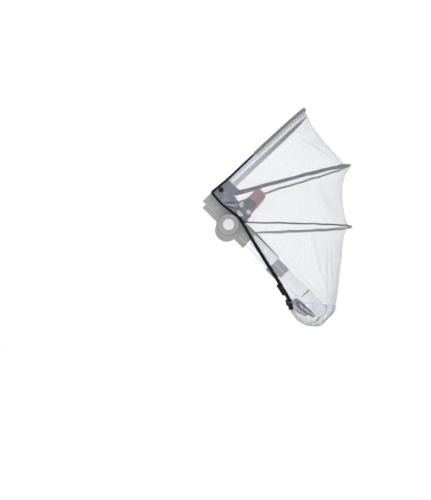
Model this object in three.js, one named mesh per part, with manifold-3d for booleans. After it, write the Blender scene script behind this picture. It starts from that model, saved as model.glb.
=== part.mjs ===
// A stroller mosquito net on the frame that it hangs from.
// Millimetres, +Z up, +X towards the foot end, right side towards -Y.
// The origin is on the outer face of the right hub cap, on the hub axis.

import * as THREE from 'three';
import { mergeVertices } from 'three/addons/utils/BufferGeometryUtils.js';
import Module from 'manifold-3d';

const wasm = await Module();
wasm.setup();

// Gap between pieces that touch.
const GAP = 0.4;

// Half widths, from the middle of the stroller outwards.
const TUBE_OUT = 206;
const TUBE_THICK = 22;
const BOW_OUT = 207.9;
const NET_OUT = 211.5;
const HOOP_OUT = 211.2;
const PATCH_IN = 212.6;
const HUB_FACE = 236;

// Net cloth.
const NET_THICK = 1.2;
const ACROSS = 30;
const DOWN = 9;
const ARCH_STEPS = 28;

// Side frame, on a line that falls at 45 degrees towards the foot.
const SLOPE = Math.PI / 4;
const TUBE_WIDE = 38;
const COLLAR_WIDE = 44;
const TUBE_RISE = 18;
const COLLAR_START = -114;
const NECK_END = 84;
const BLOCK_START = 193;
const BLOCK_END = 242;
const SEAM = 334;
const FOOT_END = 425;
const FOOT_RADIUS = 46;

// Directions of the side frame: down its tubes, and square to them towards the front.
const DOWN_TUBE = new THREE.Vector3(Math.cos(SLOPE), 0, -Math.sin(SLOPE));
const OFF_TUBE = new THREE.Vector3(Math.sin(SLOPE), 0, Math.cos(SLOPE));
const ACROSS_WAY = new THREE.Vector3(0, -1, 0);

// Hub.
const HUB_RADIUS = 40;
const BOSS_RADIUS = 33;
const CAP_RADIUS = 18.5;
const CAP_TALL = 2.7;

// Bumper bar, square to the side frame.
const ADAPTOR = { from: 40.4, to: 75.6, start: -25, end: 32, out: 205 };
const BAR = { start: 76, leather: 113, reach: 160, wide: 39, thick: 25, out: 200, radius: 33 };

// Hood bow: a flat band on a U-shaped arch, with a dark front edge.
const BOW = { baseX: -46, baseZ: 97, tipX: 256.5, tipZ: 379.5, half: BOW_OUT, square: 3.4, farDrop: 0 };
const BAND = { from: -12, to: 2.6, thick: 3 };
const EDGE = { from: 3, to: 12.5, thick: 3 };
const TRIM = { shift: 3, clear: 1.45, wide: 10, thick: 5, reach: 0.84, steps: 44 };

// Hoops. Each is an arch in its own plane, from the right base over the tip to the left base.
const UPPER_HOOP = { baseX: 20, baseZ: 101, tipX: 404, tipZ: 207, half: HOOP_OUT, square: 2.5, farDrop: 0 };
const LOWER_HOOP = { baseX: 55, baseZ: 8, tipX: 407, tipZ: 2, half: HOOP_OUT, square: 2.5, farDrop: 18 };

// Casing of each hoop. side runs from -1 at the right base to 1 at the left base.
// tall is half the height of the tape, deep is half its depth outwards.
const UPPER_CASING = [
  { side: -1, tall: 8, deep: 1 },
  { side: -0.85, tall: 6, deep: 1.6 },
  { side: -0.25, tall: 6.2, deep: 4 },
  { side: 0, tall: 3.2, deep: 12.5 },
  { side: 0.25, tall: 3.5, deep: 4 },
  { side: 1, tall: 4, deep: 1 },
];
const LOWER_CASING = [
  { side: -1, tall: 3, deep: 1 },
  { side: -0.25, tall: 3.2, deep: 4 },
  { side: 0, tall: 4, deep: 12.5 },
  { side: 0.25, tall: 5.2, deep: 4 },
  { side: 0.85, tall: 4.6, deep: 1.6 },
  { side: 1, tall: 3.6, deep: 1 },
];

// How far a panel's edge laps inside the outer face of a casing.
const CASING_LAP = 2.4;

// Net panels. Each row is an arch: its right base, its tip and its half width.
// waist is how far the cloth is drawn in between base and tip, and lift how much further
// forward over the side frame its left base lies than its right one.
const TOP_ROWS = [
  { baseX: -52, baseZ: 108, tipX: 253.5, tipZ: 394, half: NET_OUT, square: 3.4, waist: 0, lift: 0 },
  { baseX: -42, baseZ: 108, tipX: 269, tipZ: 372, half: NET_OUT + 0.5, square: 3.5, waist: 0, lift: 0 },
  { baseX: -33, baseZ: 109, tipX: 281.5, tipZ: 345, half: NET_OUT, square: 3.1, waist: 6, lift: 0 },
  { baseX: -24, baseZ: 110, tipX: 306.5, tipZ: 313, half: NET_OUT, square: 2.9, waist: 12, lift: 0 },
  { baseX: -14, baseZ: 111, tipX: 332.5, tipZ: 281.5, half: NET_OUT, square: 2.7, waist: 14, lift: 0 },
  { baseX: -4, baseZ: 112, tipX: 360.5, tipZ: 250, half: NET_OUT, square: 2.6, waist: 9, lift: 0 },
  { baseX: 7, baseZ: 113, tipX: 384, tipZ: 225, half: NET_OUT, square: 2.5, waist: 3, lift: 0 },
  { baseX: 17, baseZ: 113, tipX: 396, tipZ: 211, half: NET_OUT, square: 2.5, waist: 0, lift: 0 },
];
const MIDDLE_ROWS = [
  { baseX: 14, baseZ: 88, tipX: 396, tipZ: 202, half: NET_OUT, square: 2.5, waist: 0, lift: 0 },
  { baseX: 2, baseZ: 80, tipX: 388, tipZ: 174, half: NET_OUT, square: 2.5, waist: 7, lift: 0 },
  { baseX: -8, baseZ: 69, tipX: 385, tipZ: 144, half: NET_OUT, square: 2.5, waist: 13, lift: 0 },
  { baseX: -4, baseZ: 56, tipX: 385, tipZ: 112, half: NET_OUT, square: 2.5, waist: 16, lift: 0 },
  { baseX: 15, baseZ: 41, tipX: 387.5, tipZ: 82, half: NET_OUT, square: 2.5, waist: 15, lift: 0 },
  { baseX: 34, baseZ: 27, tipX: 390.5, tipZ: 52, half: NET_OUT, square: 2.5, waist: 9, lift: 0 },
  { baseX: 46, baseZ: 14, tipX: 394, tipZ: 27, half: NET_OUT, square: 2.5, waist: 4, lift: 0 },
  { baseX: 51, baseZ: 6, tipX: 399, tipZ: 2, half: NET_OUT, square: 2.5, waist: 0, lift: 0 },
];
const LOWER_ROWS = [
  { baseX: 51, baseZ: 5, tipX: 399, tipZ: 2, half: NET_OUT, square: 2.5, waist: 0, lift: 0 },
  { baseX: 60, baseZ: -12, tipX: 389, tipZ: -25, half: NET_OUT, square: 2.5, waist: 6, lift: 3 },
  { baseX: 78, baseZ: -46, tipX: 386, tipZ: -58, half: NET_OUT, square: 2.6, waist: 8, lift: 9 },
  { baseX: 99, baseZ: -84, tipX: 382, tipZ: -105, half: NET_OUT, square: 2.8, waist: 6, lift: 15 },
  { baseX: 124, baseZ: -126, tipX: 376, tipZ: -150, half: NET_OUT, square: 3, waist: 3, lift: 19 },
  { baseX: 151, baseZ: -168, tipX: 370, tipZ: -192, half: NET_OUT, square: 3.7, waist: 1, lift: 19 },
  { baseX: 177, baseZ: -208, tipX: 363, tipZ: -230, half: NET_OUT, square: 4.6, waist: 0, lift: 19 },
  { baseX: 200, baseZ: -247, tipX: 357, tipZ: -258, half: NET_OUT, square: 5.4, waist: 0, lift: 19 },
];
const POCKET_ROWS = [
  { baseX: 200.6, baseZ: -248.4, tipX: 357, tipZ: -259.4, half: NET_OUT, square: 5.4, waist: 0, lift: 19 },
  { baseX: 209, baseZ: -280, tipX: 355, tipZ: -279, half: NET_OUT, square: 5.2, waist: 0, lift: 19 },
  { baseX: 219, baseZ: -301, tipX: 336, tipZ: -301, half: NET_OUT - 1, square: 4.6, waist: 0, lift: 18 },
  { baseX: 238, baseZ: -314, tipX: 317, tipZ: -320, half: NET_OUT - 7, square: 4, waist: 0, lift: 13 },
  { baseX: 250, baseZ: -322, tipX: 300, tipZ: -328, half: NET_OUT - 24, square: 3.2, waist: 0, lift: 7 },
  { baseX: 250, baseZ: -323, tipX: 282, tipZ: -328, half: NET_OUT - 48, square: 3, waist: 0, lift: 4 },
  { baseX: 247, baseZ: -318, tipX: 264, tipZ: -321, half: NET_OUT - 66, square: 3, waist: 0, lift: 3 },
];

// Folds in the net: soft ridges from one place on a panel to another.
// side runs from -1 to 1 as on the hoops, down from 0 at a panel's top edge to 1 at its lower edge.
const TOP_FOLDS = [
  { side: -0.3, down: 0.22, toSide: -0.16, toDown: 0.66, high: 3, wide: 0.05 },
  { side: -0.4, down: 0.36, toSide: -0.12, toDown: 0.86, high: 2.5, wide: 0.05 },
  { side: 0.36, down: 0.3, toSide: 0.14, toDown: 0.8, high: 3, wide: 0.05 },
];
const MIDDLE_FOLDS = [
  { side: -0.5, down: 0.15, toSide: -0.3, toDown: 0.85, high: 1.5, wide: 0.07 },
  { side: 0.45, down: 0.15, toSide: 0.25, toDown: 0.85, high: 1.5, wide: 0.07 },
];
const LOWER_FOLDS = [
  { side: -0.62, down: 0.1, toSide: -0.6, toDown: 1, high: 2.5, wide: 0.05 },
  { side: -0.42, down: 0.35, toSide: -0.46, toDown: 1, high: 4, wide: 0.045 },
  { side: -0.28, down: 0.3, toSide: -0.36, toDown: 1, high: 4, wide: 0.04 },
  { side: 0.1, down: 0.4, toSide: 0.06, toDown: 1, high: 3, wide: 0.05 },
  { side: 0.4, down: 0.3, toSide: 0.44, toDown: 1, high: 4, wide: 0.045 },
];
const CRUMPLE = { high: 2.6, across: 17, along: 2.3 };

// Edge binding: its middle line on the right side, with its distance out and its width.
// The left one lies further forward by lift.
const BINDING_THICK = 2.6;
const BINDING_LINE = [
  { x: 76, z: 223, out: 212.2, wide: 7, lift: 0 },
  { x: 36, z: 185, out: 213.9, wide: 7, lift: 0 },
  { x: 0, z: 151, out: 215.8, wide: 7, lift: 0 },
  { x: -30, z: 126, out: 216.2, wide: 7, lift: 0 },
  { x: -49, z: 110, out: 216.2, wide: 7, lift: 0 },
  { x: -53.5, z: 104, out: 216.2, wide: 7, lift: 0 },
  { x: -49, z: 98, out: 216.2, wide: 7, lift: 0 },
  { x: -26.5, z: 72, out: 216.2, wide: 7, lift: 0 },
  { x: -22, z: 67.3, out: 216.2, wide: 7, lift: 0 },
  { x: -16.5, z: 62.7, out: 216.2, wide: 7, lift: 0 },
  { x: 8, z: 44, out: 216.2, wide: 7.5, lift: 0 },
  { x: 28.5, z: 28.4, out: 216.2, wide: 7.5, lift: 0 },
  { x: 34, z: 23.2, out: 216, wide: 8, lift: 0 },
  { x: 38, z: 17, out: 215.6, wide: 8, lift: 0 },
  { x: 54, z: -8, out: 214.2, wide: 9, lift: 0 },
  { x: 88, z: -66, out: 214.2, wide: 10.5, lift: 12 },
  { x: 119, z: -116, out: 214.2, wide: 11, lift: 19 },
  { x: 169, z: -195, out: 214.2, wide: 11, lift: 19 },
  { x: 201, z: -250, out: 214.2, wide: 11, lift: 19 },
];
const SLIDER = { x: 175.5, z: -214, long: 31, wide: 17, thick: 6, out: 215.9, lift: 19 };
const CLIP = { x: 201, z: -265, long: 23, wide: 15, thick: 7, out: 212.6, lift: 19 };

// Corner patch, its snap and its outline.
const PATCH_THICK = 1.6;
const PATCH_OUTLINE = [
  { x: -55, z: 105 },
  { x: -4, z: 147.5 },
  { x: 0, z: 144 },
  { x: 19, z: 127 },
  { x: 36, z: 112.5 },
  { x: 16.5, z: 92.7 },
  { x: 36.7, z: 72.7 },
  { x: 27.3, z: 56 },
  { x: 26, z: 43 },
  { x: 27.5, z: 31 },
  { x: 8, z: 45 },
  { x: -22, z: 68.5 },
];
const SNAP = { x: -24, z: 113, radius: 8, tall: 3.4 };

// Colours.
const finish = (color, roughness, metalness = 0) => () =>
  new THREE.MeshStandardMaterial({ color, roughness, metalness, side: THREE.DoubleSide });
const netCloth = () => new THREE.MeshStandardMaterial({
  color: 0xeef1f6, roughness: 0.9, metalness: 0, transparent: true, opacity: 0.45, side: THREE.DoubleSide,
});
const greyTape = finish(0x7a7a86, 0.85);
const blackElastic = finish(0x141416, 0.8);
const blackPlastic = finish(0x0c0c0e, 0.45);
const patchCloth = finish(0x6e7280, 0.85);
const lightBand = finish(0xd4d7de, 0.7);
const darkTrim = finish(0x777772, 0.8);
const greyPlastic = finish(0x8a8a8e, 0.55);
const aluminium = finish(0xd9dce2, 0.35, 0.8);
const whitePlastic = finish(0xe8e8e6, 0.4);
const leather = finish(0x9a7e78, 0.6);

const part = new THREE.Group();
const body = new THREE.Group();
body.position.y = HUB_FACE;
part.add(body);

const addPiece = (name, geometry, material) => {
  const mesh = new THREE.Mesh(geometry, material());
  mesh.name = name;
  body.add(mesh);
  return mesh;
};

// Mirrors a geometry to the left side and turns its faces outwards again.
const mirrored = (geometry) => {
  const copy = geometry.clone();
  copy.scale(1, -1, 1);
  const index = copy.getIndex();
  for (let i = 0; i < index.count; i += 3) {
    const first = index.getX(i);
    index.setX(i, index.getX(i + 1));
    index.setX(i + 1, first);
  }
  return copy;
};

const indexed = (geometry) => {
  const bare = geometry.clone();
  bare.deleteAttribute('normal');
  bare.deleteAttribute('uv');
  return mergeVertices(bare, 1e-4);
};

// Adds a piece and its mirror image on the left. other is given where the left one differs.
const addPair = (name, geometry, material, other = geometry) => {
  addPiece(`${name}_right`, indexed(geometry), material);
  addPiece(`${name}_left`, mirrored(indexed(other)), material);
};

// Volume inside a closed list of triangles, negative where they face inwards.
const signedVolume = (points, faces) => {
  let sum = 0;
  for (let i = 0; i < faces.length; i += 3) {
    const [a, b, c] = [points[faces[i]], points[faces[i + 1]], points[faces[i + 2]]];
    sum += a.dot(new THREE.Vector3().crossVectors(b, c)) / 6;
  }
  return sum;
};

const fromLists = (points, faces) => {
  if (signedVolume(points, faces) < 0) faces.reverse();
  const geometry = new THREE.BufferGeometry();
  const places = points.flatMap((p) => [p.x, p.y, p.z]);
  geometry.setAttribute('position', new THREE.Float32BufferAttribute(places, 3));
  geometry.setIndex(faces);
  geometry.computeVertexNormals();
  return geometry;
};

// A closed solid through rings of points, with a flat cap at each end.
const loft = (rings) => {
  const sides = rings[0].length;
  const points = rings.flat();
  const faces = [];
  for (let i = 0; i + 1 < rings.length; i += 1) {
    for (let j = 0; j < sides; j += 1) {
      const a = i * sides + j;
      const b = i * sides + (j + 1) % sides;
      faces.push(a, b, b + sides, a, b + sides, a + sides);
    }
  }
  const last = (rings.length - 1) * sides;
  for (let j = 1; j + 1 < sides; j += 1) {
    faces.push(0, j + 1, j);
    faces.push(last, last + j, last + j + 1);
  }
  return fromLists(points, faces);
};

// Section of a strip: a rectangle with cut corners, wide along one direction and thick along the other.
const stripRing = (centre, wideWay, thickWay, wide, thick) => {
  const cut = Math.min(wide, thick) * 0.28;
  const w = wide / 2;
  const t = thick / 2;
  const corners = [
    [w, t - cut], [w - cut, t], [-w + cut, t], [-w, t - cut],
    [-w, -t + cut], [-w + cut, -t], [w - cut, -t], [w, -t + cut],
  ];
  return corners.map(([a, b]) => centre.clone().addScaledVector(wideWay, a).addScaledVector(thickWay, b));
};

// Value of a named column between two rows of a table, with a smooth curve through the rows.
const blend = (rows, key, place) => {
  const at = THREE.MathUtils.clamp(place, 0, rows.length - 1);
  const i = Math.min(Math.floor(at), rows.length - 2);
  const f = at - i;
  const before = rows[Math.max(i - 1, 0)][key];
  const from = rows[i][key];
  const to = rows[i + 1][key];
  const after = rows[Math.min(i + 2, rows.length - 1)][key];
  const tangentFrom = (to - before) / 2;
  const tangentTo = (after - from) / 2;
  const f2 = f * f;
  const f3 = f2 * f;
  return (2 * f3 - 3 * f2 + 1) * from + (f3 - 2 * f2 + f) * tangentFrom
    + (-2 * f3 + 3 * f2) * to + (f3 - f2) * tangentTo;
};

// Straight interpolation of a casing's column at a place from right to left.
const casingAt = (table, key, side) => {
  const last = table.length - 2;
  let i = 0;
  while (i < last && side > table[i + 1].side) i += 1;
  const span = table[i + 1].side - table[i].side;
  const f = THREE.MathUtils.smoothstep((side - table[i].side) / span, 0, 1);
  return THREE.MathUtils.lerp(table[i][key], table[i + 1][key], f);
};

// Point of an arch. The arms run from the bases and round into the tip as a superellipse.
const archPoint = (arch, side) => {
  const angle = Math.abs(side) * Math.PI / 2;
  const along = Math.cos(angle) ** (2 / arch.square);
  const across = Math.sin(angle) ** (2 / arch.square);
  const waist = (arch.waist ?? 0) * Math.sin(2 * angle) ** 2;
  const level = 1 - THREE.MathUtils.smoothstep(along, 0.2, 0.62);
  const drop = side > 0 ? (arch.farDrop ?? 0) * level : 0;
  const lift = side > 0 ? (arch.lift ?? 0) * (1 - along) : 0;
  const point = new THREE.Vector3(
    arch.baseX + (arch.tipX - arch.baseX) * Math.max(along, 0),
    Math.sign(side) * (arch.half * across - waist),
    arch.baseZ + (arch.tipZ - arch.baseZ) * Math.max(along, 0) - drop,
  );
  return point.addScaledVector(OFF_TUBE, lift);
};

const archNormal = (arch) => {
  const forward = new THREE.Vector3(arch.tipX - arch.baseX, 0, arch.tipZ - arch.baseZ).normalize();
  return new THREE.Vector3(forward.z, 0, -forward.x);
};

// Directions at a place on an arch: square to its plane, and outwards in its plane.
const archFrame = (arch, side) => {
  const step = 0.004;
  const tangent = archPoint(arch, Math.min(side + step, 1)).sub(archPoint(arch, Math.max(side - step, -1)));
  const normal = archNormal(arch);
  const outward = new THREE.Vector3().crossVectors(normal, tangent).normalize();
  return { centre: archPoint(arch, side), normal, outward };
};

// A strip swept along an arch. shape gives its width, thickness and shift at each side value.
const archStrip = (arch, steps, reach, shape) => {
  const rings = [];
  for (let i = 0; i <= steps; i += 1) {
    const side = reach * (2 * i / steps - 1);
    const { centre, normal, outward } = archFrame(arch, side);
    const { wide, thick, shift = 0, out = 0 } = shape(side);
    centre.addScaledVector(normal, shift).addScaledVector(outward, out);
    rings.push(stripRing(centre, normal, outward, wide, thick));
  }
  return loft(rings);
};

// Height of the folds at a place on a panel.
const foldHeight = (folds, side, down) => folds.reduce((sum, fold) => {
  const runSide = fold.toSide - fold.side;
  const runDown = fold.toDown - fold.down;
  const length = runSide * runSide + runDown * runDown;
  const t = ((side - fold.side) * runSide + (down - fold.down) * runDown) / length;
  const near = THREE.MathUtils.clamp(t, 0, 1);
  const offSide = side - fold.side - near * runSide;
  const offDown = down - fold.down - near * runDown;
  const off = Math.hypot(offSide, offDown) / fold.wide;
  const taper = Math.sin(Math.PI * THREE.MathUtils.clamp(0.06 + 0.88 * near, 0, 1));
  return sum + fold.high * taper * Math.exp(-off * off);
}, 0);

const crumpleHeight = (side, down) => {
  const strength = Math.sin(Math.PI * THREE.MathUtils.clamp(down, 0, 1)) ** 0.6;
  const edge = THREE.MathUtils.smoothstep(1 - Math.abs(side), 0.06, 0.2);
  const wave = Math.sin(CRUMPLE.across * side + CRUMPLE.along * Math.sin(5 * down + 2 * side));
  return CRUMPLE.high * strength * edge * (wave + 0.6 * Math.sin(9 * down - 7 * side));
};

// Surface of a panel through its rows of arches.
const panelPoint = (rows, side, down, farDrop) => {
  const place = down * (rows.length - 1);
  const arch = { farDrop: farDrop(down) };
  for (const key of ['baseX', 'baseZ', 'tipX', 'tipZ', 'half', 'square', 'waist', 'lift']) {
    arch[key] = blend(rows, key, place);
  }
  return archPoint(arch, side);
};

// A sheet of cloth: a grid on the surface, moved by its folds, with its thickness on both sides.
const sheet = (surface, height, across, down) => {
  const grid = [];
  for (let j = 0; j <= down; j += 1) {
    for (let i = 0; i <= across; i += 1) {
      const side = 2 * i / across - 1;
      const v = j / down;
      const step = 0.01;
      const east = surface(Math.min(side + step, 1), v).sub(surface(Math.max(side - step, -1), v));
      const south = surface(side, Math.min(v + step, 1)).sub(surface(side, Math.max(v - step, 0)));
      const normal = new THREE.Vector3().crossVectors(south, east).normalize();
      const middle = surface(side, v).addScaledVector(normal, height(side, v));
      grid.push({ middle, normal });
    }
  }
  const outer = grid.map(({ middle, normal }) => middle.clone().addScaledVector(normal, NET_THICK / 2));
  const inner = grid.map(({ middle, normal }) => middle.clone().addScaledVector(normal, -NET_THICK / 2));
  const points = outer.concat(inner);
  const count = grid.length;
  const row = across + 1;
  const faces = [];
  for (let j = 0; j < down; j += 1) {
    for (let i = 0; i < across; i += 1) {
      const a = j * row + i;
      const b = count + a;
      faces.push(a, a + row, a + row + 1, a, a + row + 1, a + 1);
      faces.push(b, b + row + 1, b + row, b, b + 1, b + row + 1);
    }
  }
  const wall = (a, b) => faces.push(a, b, count + b, a, count + b, count + a);
  for (let i = 0; i < across; i += 1) {
    wall(i, i + 1);
    wall(down * row + i + 1, down * row + i);
  }
  for (let j = 0; j < down; j += 1) {
    wall((j + 1) * row, j * row);
    wall(j * row + across, (j + 1) * row + across);
  }
  return fromLists(points, faces);
};

// Edge of a panel along a hoop, above or below its casing. inward is 1 along the casing's inner
// side, and -0.9 close to its outer side.
const hoopEdge = (hoop, table, side, above, inward) => {
  const { centre, normal, outward } = archFrame(hoop, side);
  const tall = casingAt(table, 'tall', side) + GAP + NET_THICK / 2;
  const inset = inward * Math.max(casingAt(table, 'deep', side) - CASING_LAP, 0);
  return centre.addScaledVector(normal, above ? -tall : tall).addScaledVector(outward, -inset);
};

// Moves a panel's edge onto the edge of a hoop. down is 0 at the upper edge of the panel and 1 at its lower.
const joined = (surface, upperEdge, lowerEdge) => (side, down) => {
  const point = surface(side, down);
  for (const [edge, place, near] of [[upperEdge, 0, 1 - down], [lowerEdge, 1, down]]) {
    if (edge) point.addScaledVector(edge(side).sub(surface(side, place)), near ** 5);
  }
  return point;
};

const buildNet = () => {
  const top = (side, down) => panelPoint(TOP_ROWS, side, down, () => 0);
  const middle = (side, down) => panelPoint(MIDDLE_ROWS, side, down, (d) => LOWER_HOOP.farDrop * d ** 2);
  const lower = (side, down) => panelPoint(LOWER_ROWS, side, down, (d) => LOWER_HOOP.farDrop * (1 - d) ** 2);
  const pocket = (side, down) => panelPoint(POCKET_ROWS, side, down, () => 0);
  const onUpper = (above, inward) => (side) => hoopEdge(UPPER_HOOP, UPPER_CASING, side, above, inward);
  const onLower = (above, inward) => (side) => hoopEdge(LOWER_HOOP, LOWER_CASING, side, above, inward);
  const folded = (folds) => (side, down) => foldHeight(folds, side, down);

  addPiece('net_top', sheet(joined(top, null, onUpper(true, 1)), folded(TOP_FOLDS), ACROSS, DOWN), netCloth);
  const betweenHoops = joined(middle, onUpper(false, -0.9), onLower(true, 1));
  addPiece('net_middle', sheet(betweenHoops, folded(MIDDLE_FOLDS), ACROSS, DOWN), netCloth);
  const underHoop = joined(lower, onLower(false, 1), null);
  addPiece('net_lower', sheet(underHoop, folded(LOWER_FOLDS), ACROSS + 6, DOWN + 1), netCloth);
  addPiece('net_pocket', sheet(pocket, crumpleHeight, ACROSS + 6, DOWN), netCloth);
};

const buildHoops = () => {
  const casing = (table) => (side) => ({
    wide: 2 * casingAt(table, 'tall', side),
    thick: 2 * casingAt(table, 'deep', side),
  });
  addPiece('hoop_upper', archStrip(UPPER_HOOP, ARCH_STEPS, 1, casing(UPPER_CASING)), greyTape);
  addPiece('hoop_lower', archStrip(LOWER_HOOP, ARCH_STEPS, 1, casing(LOWER_CASING)), greyTape);
};

const buildBow = () => {
  const flat = (size) => () => ({
    wide: size.to - size.from,
    thick: size.thick,
    shift: (size.from + size.to) / 2,
  });
  addPiece('hood_bow', archStrip(BOW, ARCH_STEPS, 1, flat(BAND)), lightBand);
  addPiece('bow_edge', archStrip(BOW, ARCH_STEPS, 1, flat(EDGE)), darkTrim);
  const out = NET_THICK / 2 + TRIM.clear + TRIM.thick / 2;
  const trim = () => ({ wide: TRIM.wide, thick: TRIM.thick, shift: TRIM.shift, out });
  addPiece('hood_trim', archStrip(TOP_ROWS[0], TRIM.steps, TRIM.reach, trim), darkTrim);
};

// Place on the right side. forward is how much of its lift it takes.
const rightPoint = (row, forward) => new THREE.Vector3(row.x, -row.out, row.z)
  .addScaledVector(OFF_TUBE, forward * row.lift);

const bindingStrip = (forward) => {
  const places = BINDING_LINE.map((row) => rightPoint(row, forward));
  const curve = new THREE.CatmullRomCurve3(places, false, 'centripetal');
  const steps = 2 * (BINDING_LINE.length - 1);
  const rings = [];
  for (let i = 0; i <= steps; i += 1) {
    const t = i / steps;
    const tangent = curve.getTangent(t);
    const thickWay = new THREE.Vector3(0, -1, 0);
    const wideWay = new THREE.Vector3().crossVectors(thickWay, tangent).normalize();
    const wide = blend(BINDING_LINE, 'wide', t * (BINDING_LINE.length - 1));
    rings.push(stripRing(curve.getPoint(t), wideWay, thickWay, wide, BINDING_THICK));
  }
  return loft(rings);
};

const buildBinding = () => addPair('binding', bindingStrip(0), blackElastic, bindingStrip(1));

const roundedRectangle = (wide, tall, radius) => {
  const shape = new THREE.Shape();
  const w = wide / 2 - radius;
  const t = tall / 2 - radius;
  shape.absarc(w, t, radius, 0, Math.PI / 2);
  shape.absarc(-w, t, radius, Math.PI / 2, Math.PI);
  shape.absarc(-w, -t, radius, Math.PI, 1.5 * Math.PI);
  shape.absarc(w, -t, radius, 1.5 * Math.PI, 2 * Math.PI);
  return shape;
};

// A block set along the side frame: from and to along the tube, with its section beside it.
const tubeBlock = (from, to, rise, wide, thick, out, radius = 4) => {
  const shape = roundedRectangle(wide, thick, radius);
  const sizes = { depth: to - from, bevelEnabled: false, curveSegments: 2 };
  const geometry = new THREE.ExtrudeGeometry(shape, sizes);
  const basis = new THREE.Matrix4().makeBasis(OFF_TUBE, ACROSS_WAY, DOWN_TUBE);
  const place = new THREE.Vector3()
    .addScaledVector(DOWN_TUBE, from)
    .addScaledVector(OFF_TUBE, rise)
    .addScaledVector(ACROSS_WAY, out - thick / 2);
  return geometry.applyMatrix4(basis.setPosition(place));
};

const toManifold = (geometry) => {
  const merged = indexed(geometry);
  return new wasm.Manifold(new wasm.Mesh({
    numProp: 3,
    vertProperties: new Float32Array(merged.getAttribute('position').array),
    triVerts: new Uint32Array(merged.getIndex().array),
  }));
};

const fromManifold = (solid) => {
  const mesh = solid.getMesh();
  const geometry = new THREE.BufferGeometry();
  geometry.setAttribute('position', new THREE.BufferAttribute(mesh.vertProperties, 3));
  geometry.setIndex(new THREE.BufferAttribute(mesh.triVerts, 1));
  geometry.computeVertexNormals();
  return geometry;
};

const sideDisc = (radius, from, to, segments) => {
  const disc = new THREE.CylinderGeometry(radius, radius, to - from, segments);
  disc.translate(0, -(from + to) / 2, 0);
  return disc;
};

const buildSideFrame = () => {
  const collar = tubeBlock(COLLAR_START, NECK_END, TUBE_RISE, COLLAR_WIDE, TUBE_THICK, TUBE_OUT, 5);
  const disc = sideDisc(HUB_RADIUS, TUBE_OUT - TUBE_THICK - 2, TUBE_OUT, 32);
  const boss = sideDisc(BOSS_RADIUS, TUBE_OUT - 1, HUB_FACE - CAP_TALL - GAP, 28);
  addPair('hub', fromManifold(toManifold(collar).add(toManifold(disc)).add(toManifold(boss))), greyPlastic);
  addPair('hub_cap', sideDisc(CAP_RADIUS, HUB_FACE - CAP_TALL, HUB_FACE, 28), whitePlastic);

  const upper = [NECK_END + GAP, BLOCK_START - GAP];
  const lower = [BLOCK_END + GAP, SEAM - GAP];
  addPair('tube_upper', tubeBlock(...upper, TUBE_RISE, TUBE_WIDE, TUBE_THICK, TUBE_OUT), aluminium);
  const block = [BLOCK_START, BLOCK_END];
  addPair('tube_block', tubeBlock(...block, TUBE_RISE, TUBE_WIDE + 1, TUBE_THICK, TUBE_OUT), greyPlastic);
  addPair('tube_lower', tubeBlock(...lower, TUBE_RISE, TUBE_WIDE, TUBE_THICK, TUBE_OUT), aluminium);
};

// A U-shaped bar across the stroller: two arms along one direction, joined by round corners.
const crossBar = (armWay, wideWay, size) => {
  const half = size.out - size.thick / 2;
  const reach = size.reach - size.thick / 2;
  const steps = 7;
  const path = [[size.start, -half]];
  for (const turn of [-1, 1]) {
    for (let i = 0; i <= steps; i += 1) {
      const f = turn < 0 ? i / steps : 1 - i / steps;
      const angle = f * Math.PI / 2;
      path.push([
        reach - size.radius + size.radius * Math.sin(angle),
        turn * (half - size.radius + size.radius * Math.cos(angle)),
      ]);
    }
  }
  path.push([size.start, half]);
  const points = path.map(([along, y]) => new THREE.Vector3()
    .addScaledVector(armWay, along)
    .addScaledVector(wideWay, size.beside)
    .add(new THREE.Vector3(0, y, 0)));
  const rings = points.map((point, i) => {
    const ahead = points[Math.min(i + 1, points.length - 1)];
    const behind = points[Math.max(i - 1, 0)];
    const tangent = new THREE.Vector3().subVectors(ahead, behind).normalize();
    const thickWay = new THREE.Vector3().crossVectors(wideWay, tangent).normalize();
    return stripRing(point, wideWay, thickWay, size.wide, size.thick);
  });
  return loft(rings);
};

const buildFoot = () => {
  const size = {
    start: SEAM,
    reach: FOOT_END,
    out: TUBE_OUT,
    thick: TUBE_THICK,
    wide: TUBE_WIDE,
    radius: FOOT_RADIUS,
    beside: TUBE_RISE,
  };
  addPiece('foot_loop', crossBar(DOWN_TUBE, OFF_TUBE, size), aluminium);
};

const buildBumper = () => {
  const rise = (ADAPTOR.from + ADAPTOR.to) / 2;
  const tall = ADAPTOR.to - ADAPTOR.from;
  const adaptor = [ADAPTOR.start, ADAPTOR.end];
  addPair('adaptor', tubeBlock(...adaptor, rise, tall, TUBE_THICK, ADAPTOR.out, 3), greyPlastic);
  const endRise = (BAR.start + BAR.leather - GAP) / 2;
  const endTall = BAR.leather - GAP - BAR.start;
  const start = 1 - BAR.wide / 2;
  const ends = [start, start + BAR.wide];
  addPair('bar_end', tubeBlock(...ends, endRise, endTall, BAR.thick, BAR.out, 3), greyPlastic);
  const size = { ...BAR, start: BAR.leather, beside: 1 };
  addPiece('bumper_bar', crossBar(OFF_TUBE, DOWN_TUBE, size), leather);
};

// A flat piece in the side plane, from an outline of x and z.
const sidePlate = (outline, inner, thick) => {
  const shape = new THREE.Shape(outline.map(({ x, z }) => new THREE.Vector2(x, z)));
  const geometry = new THREE.ExtrudeGeometry(shape, { depth: thick, bevelEnabled: false });
  geometry.rotateX(Math.PI / 2);
  geometry.translate(0, -inner, 0);
  return geometry;
};

const fittingBlock = (size, angle, forward) => {
  const shape = roundedRectangle(size.wide, size.long, 4);
  const sizes = { depth: size.thick, bevelEnabled: false, curveSegments: 2 };
  const geometry = new THREE.ExtrudeGeometry(shape, sizes);
  geometry.rotateZ(angle);
  geometry.rotateX(Math.PI / 2);
  const place = rightPoint(size, forward);
  return geometry.translate(place.x, place.y, place.z);
};

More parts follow.
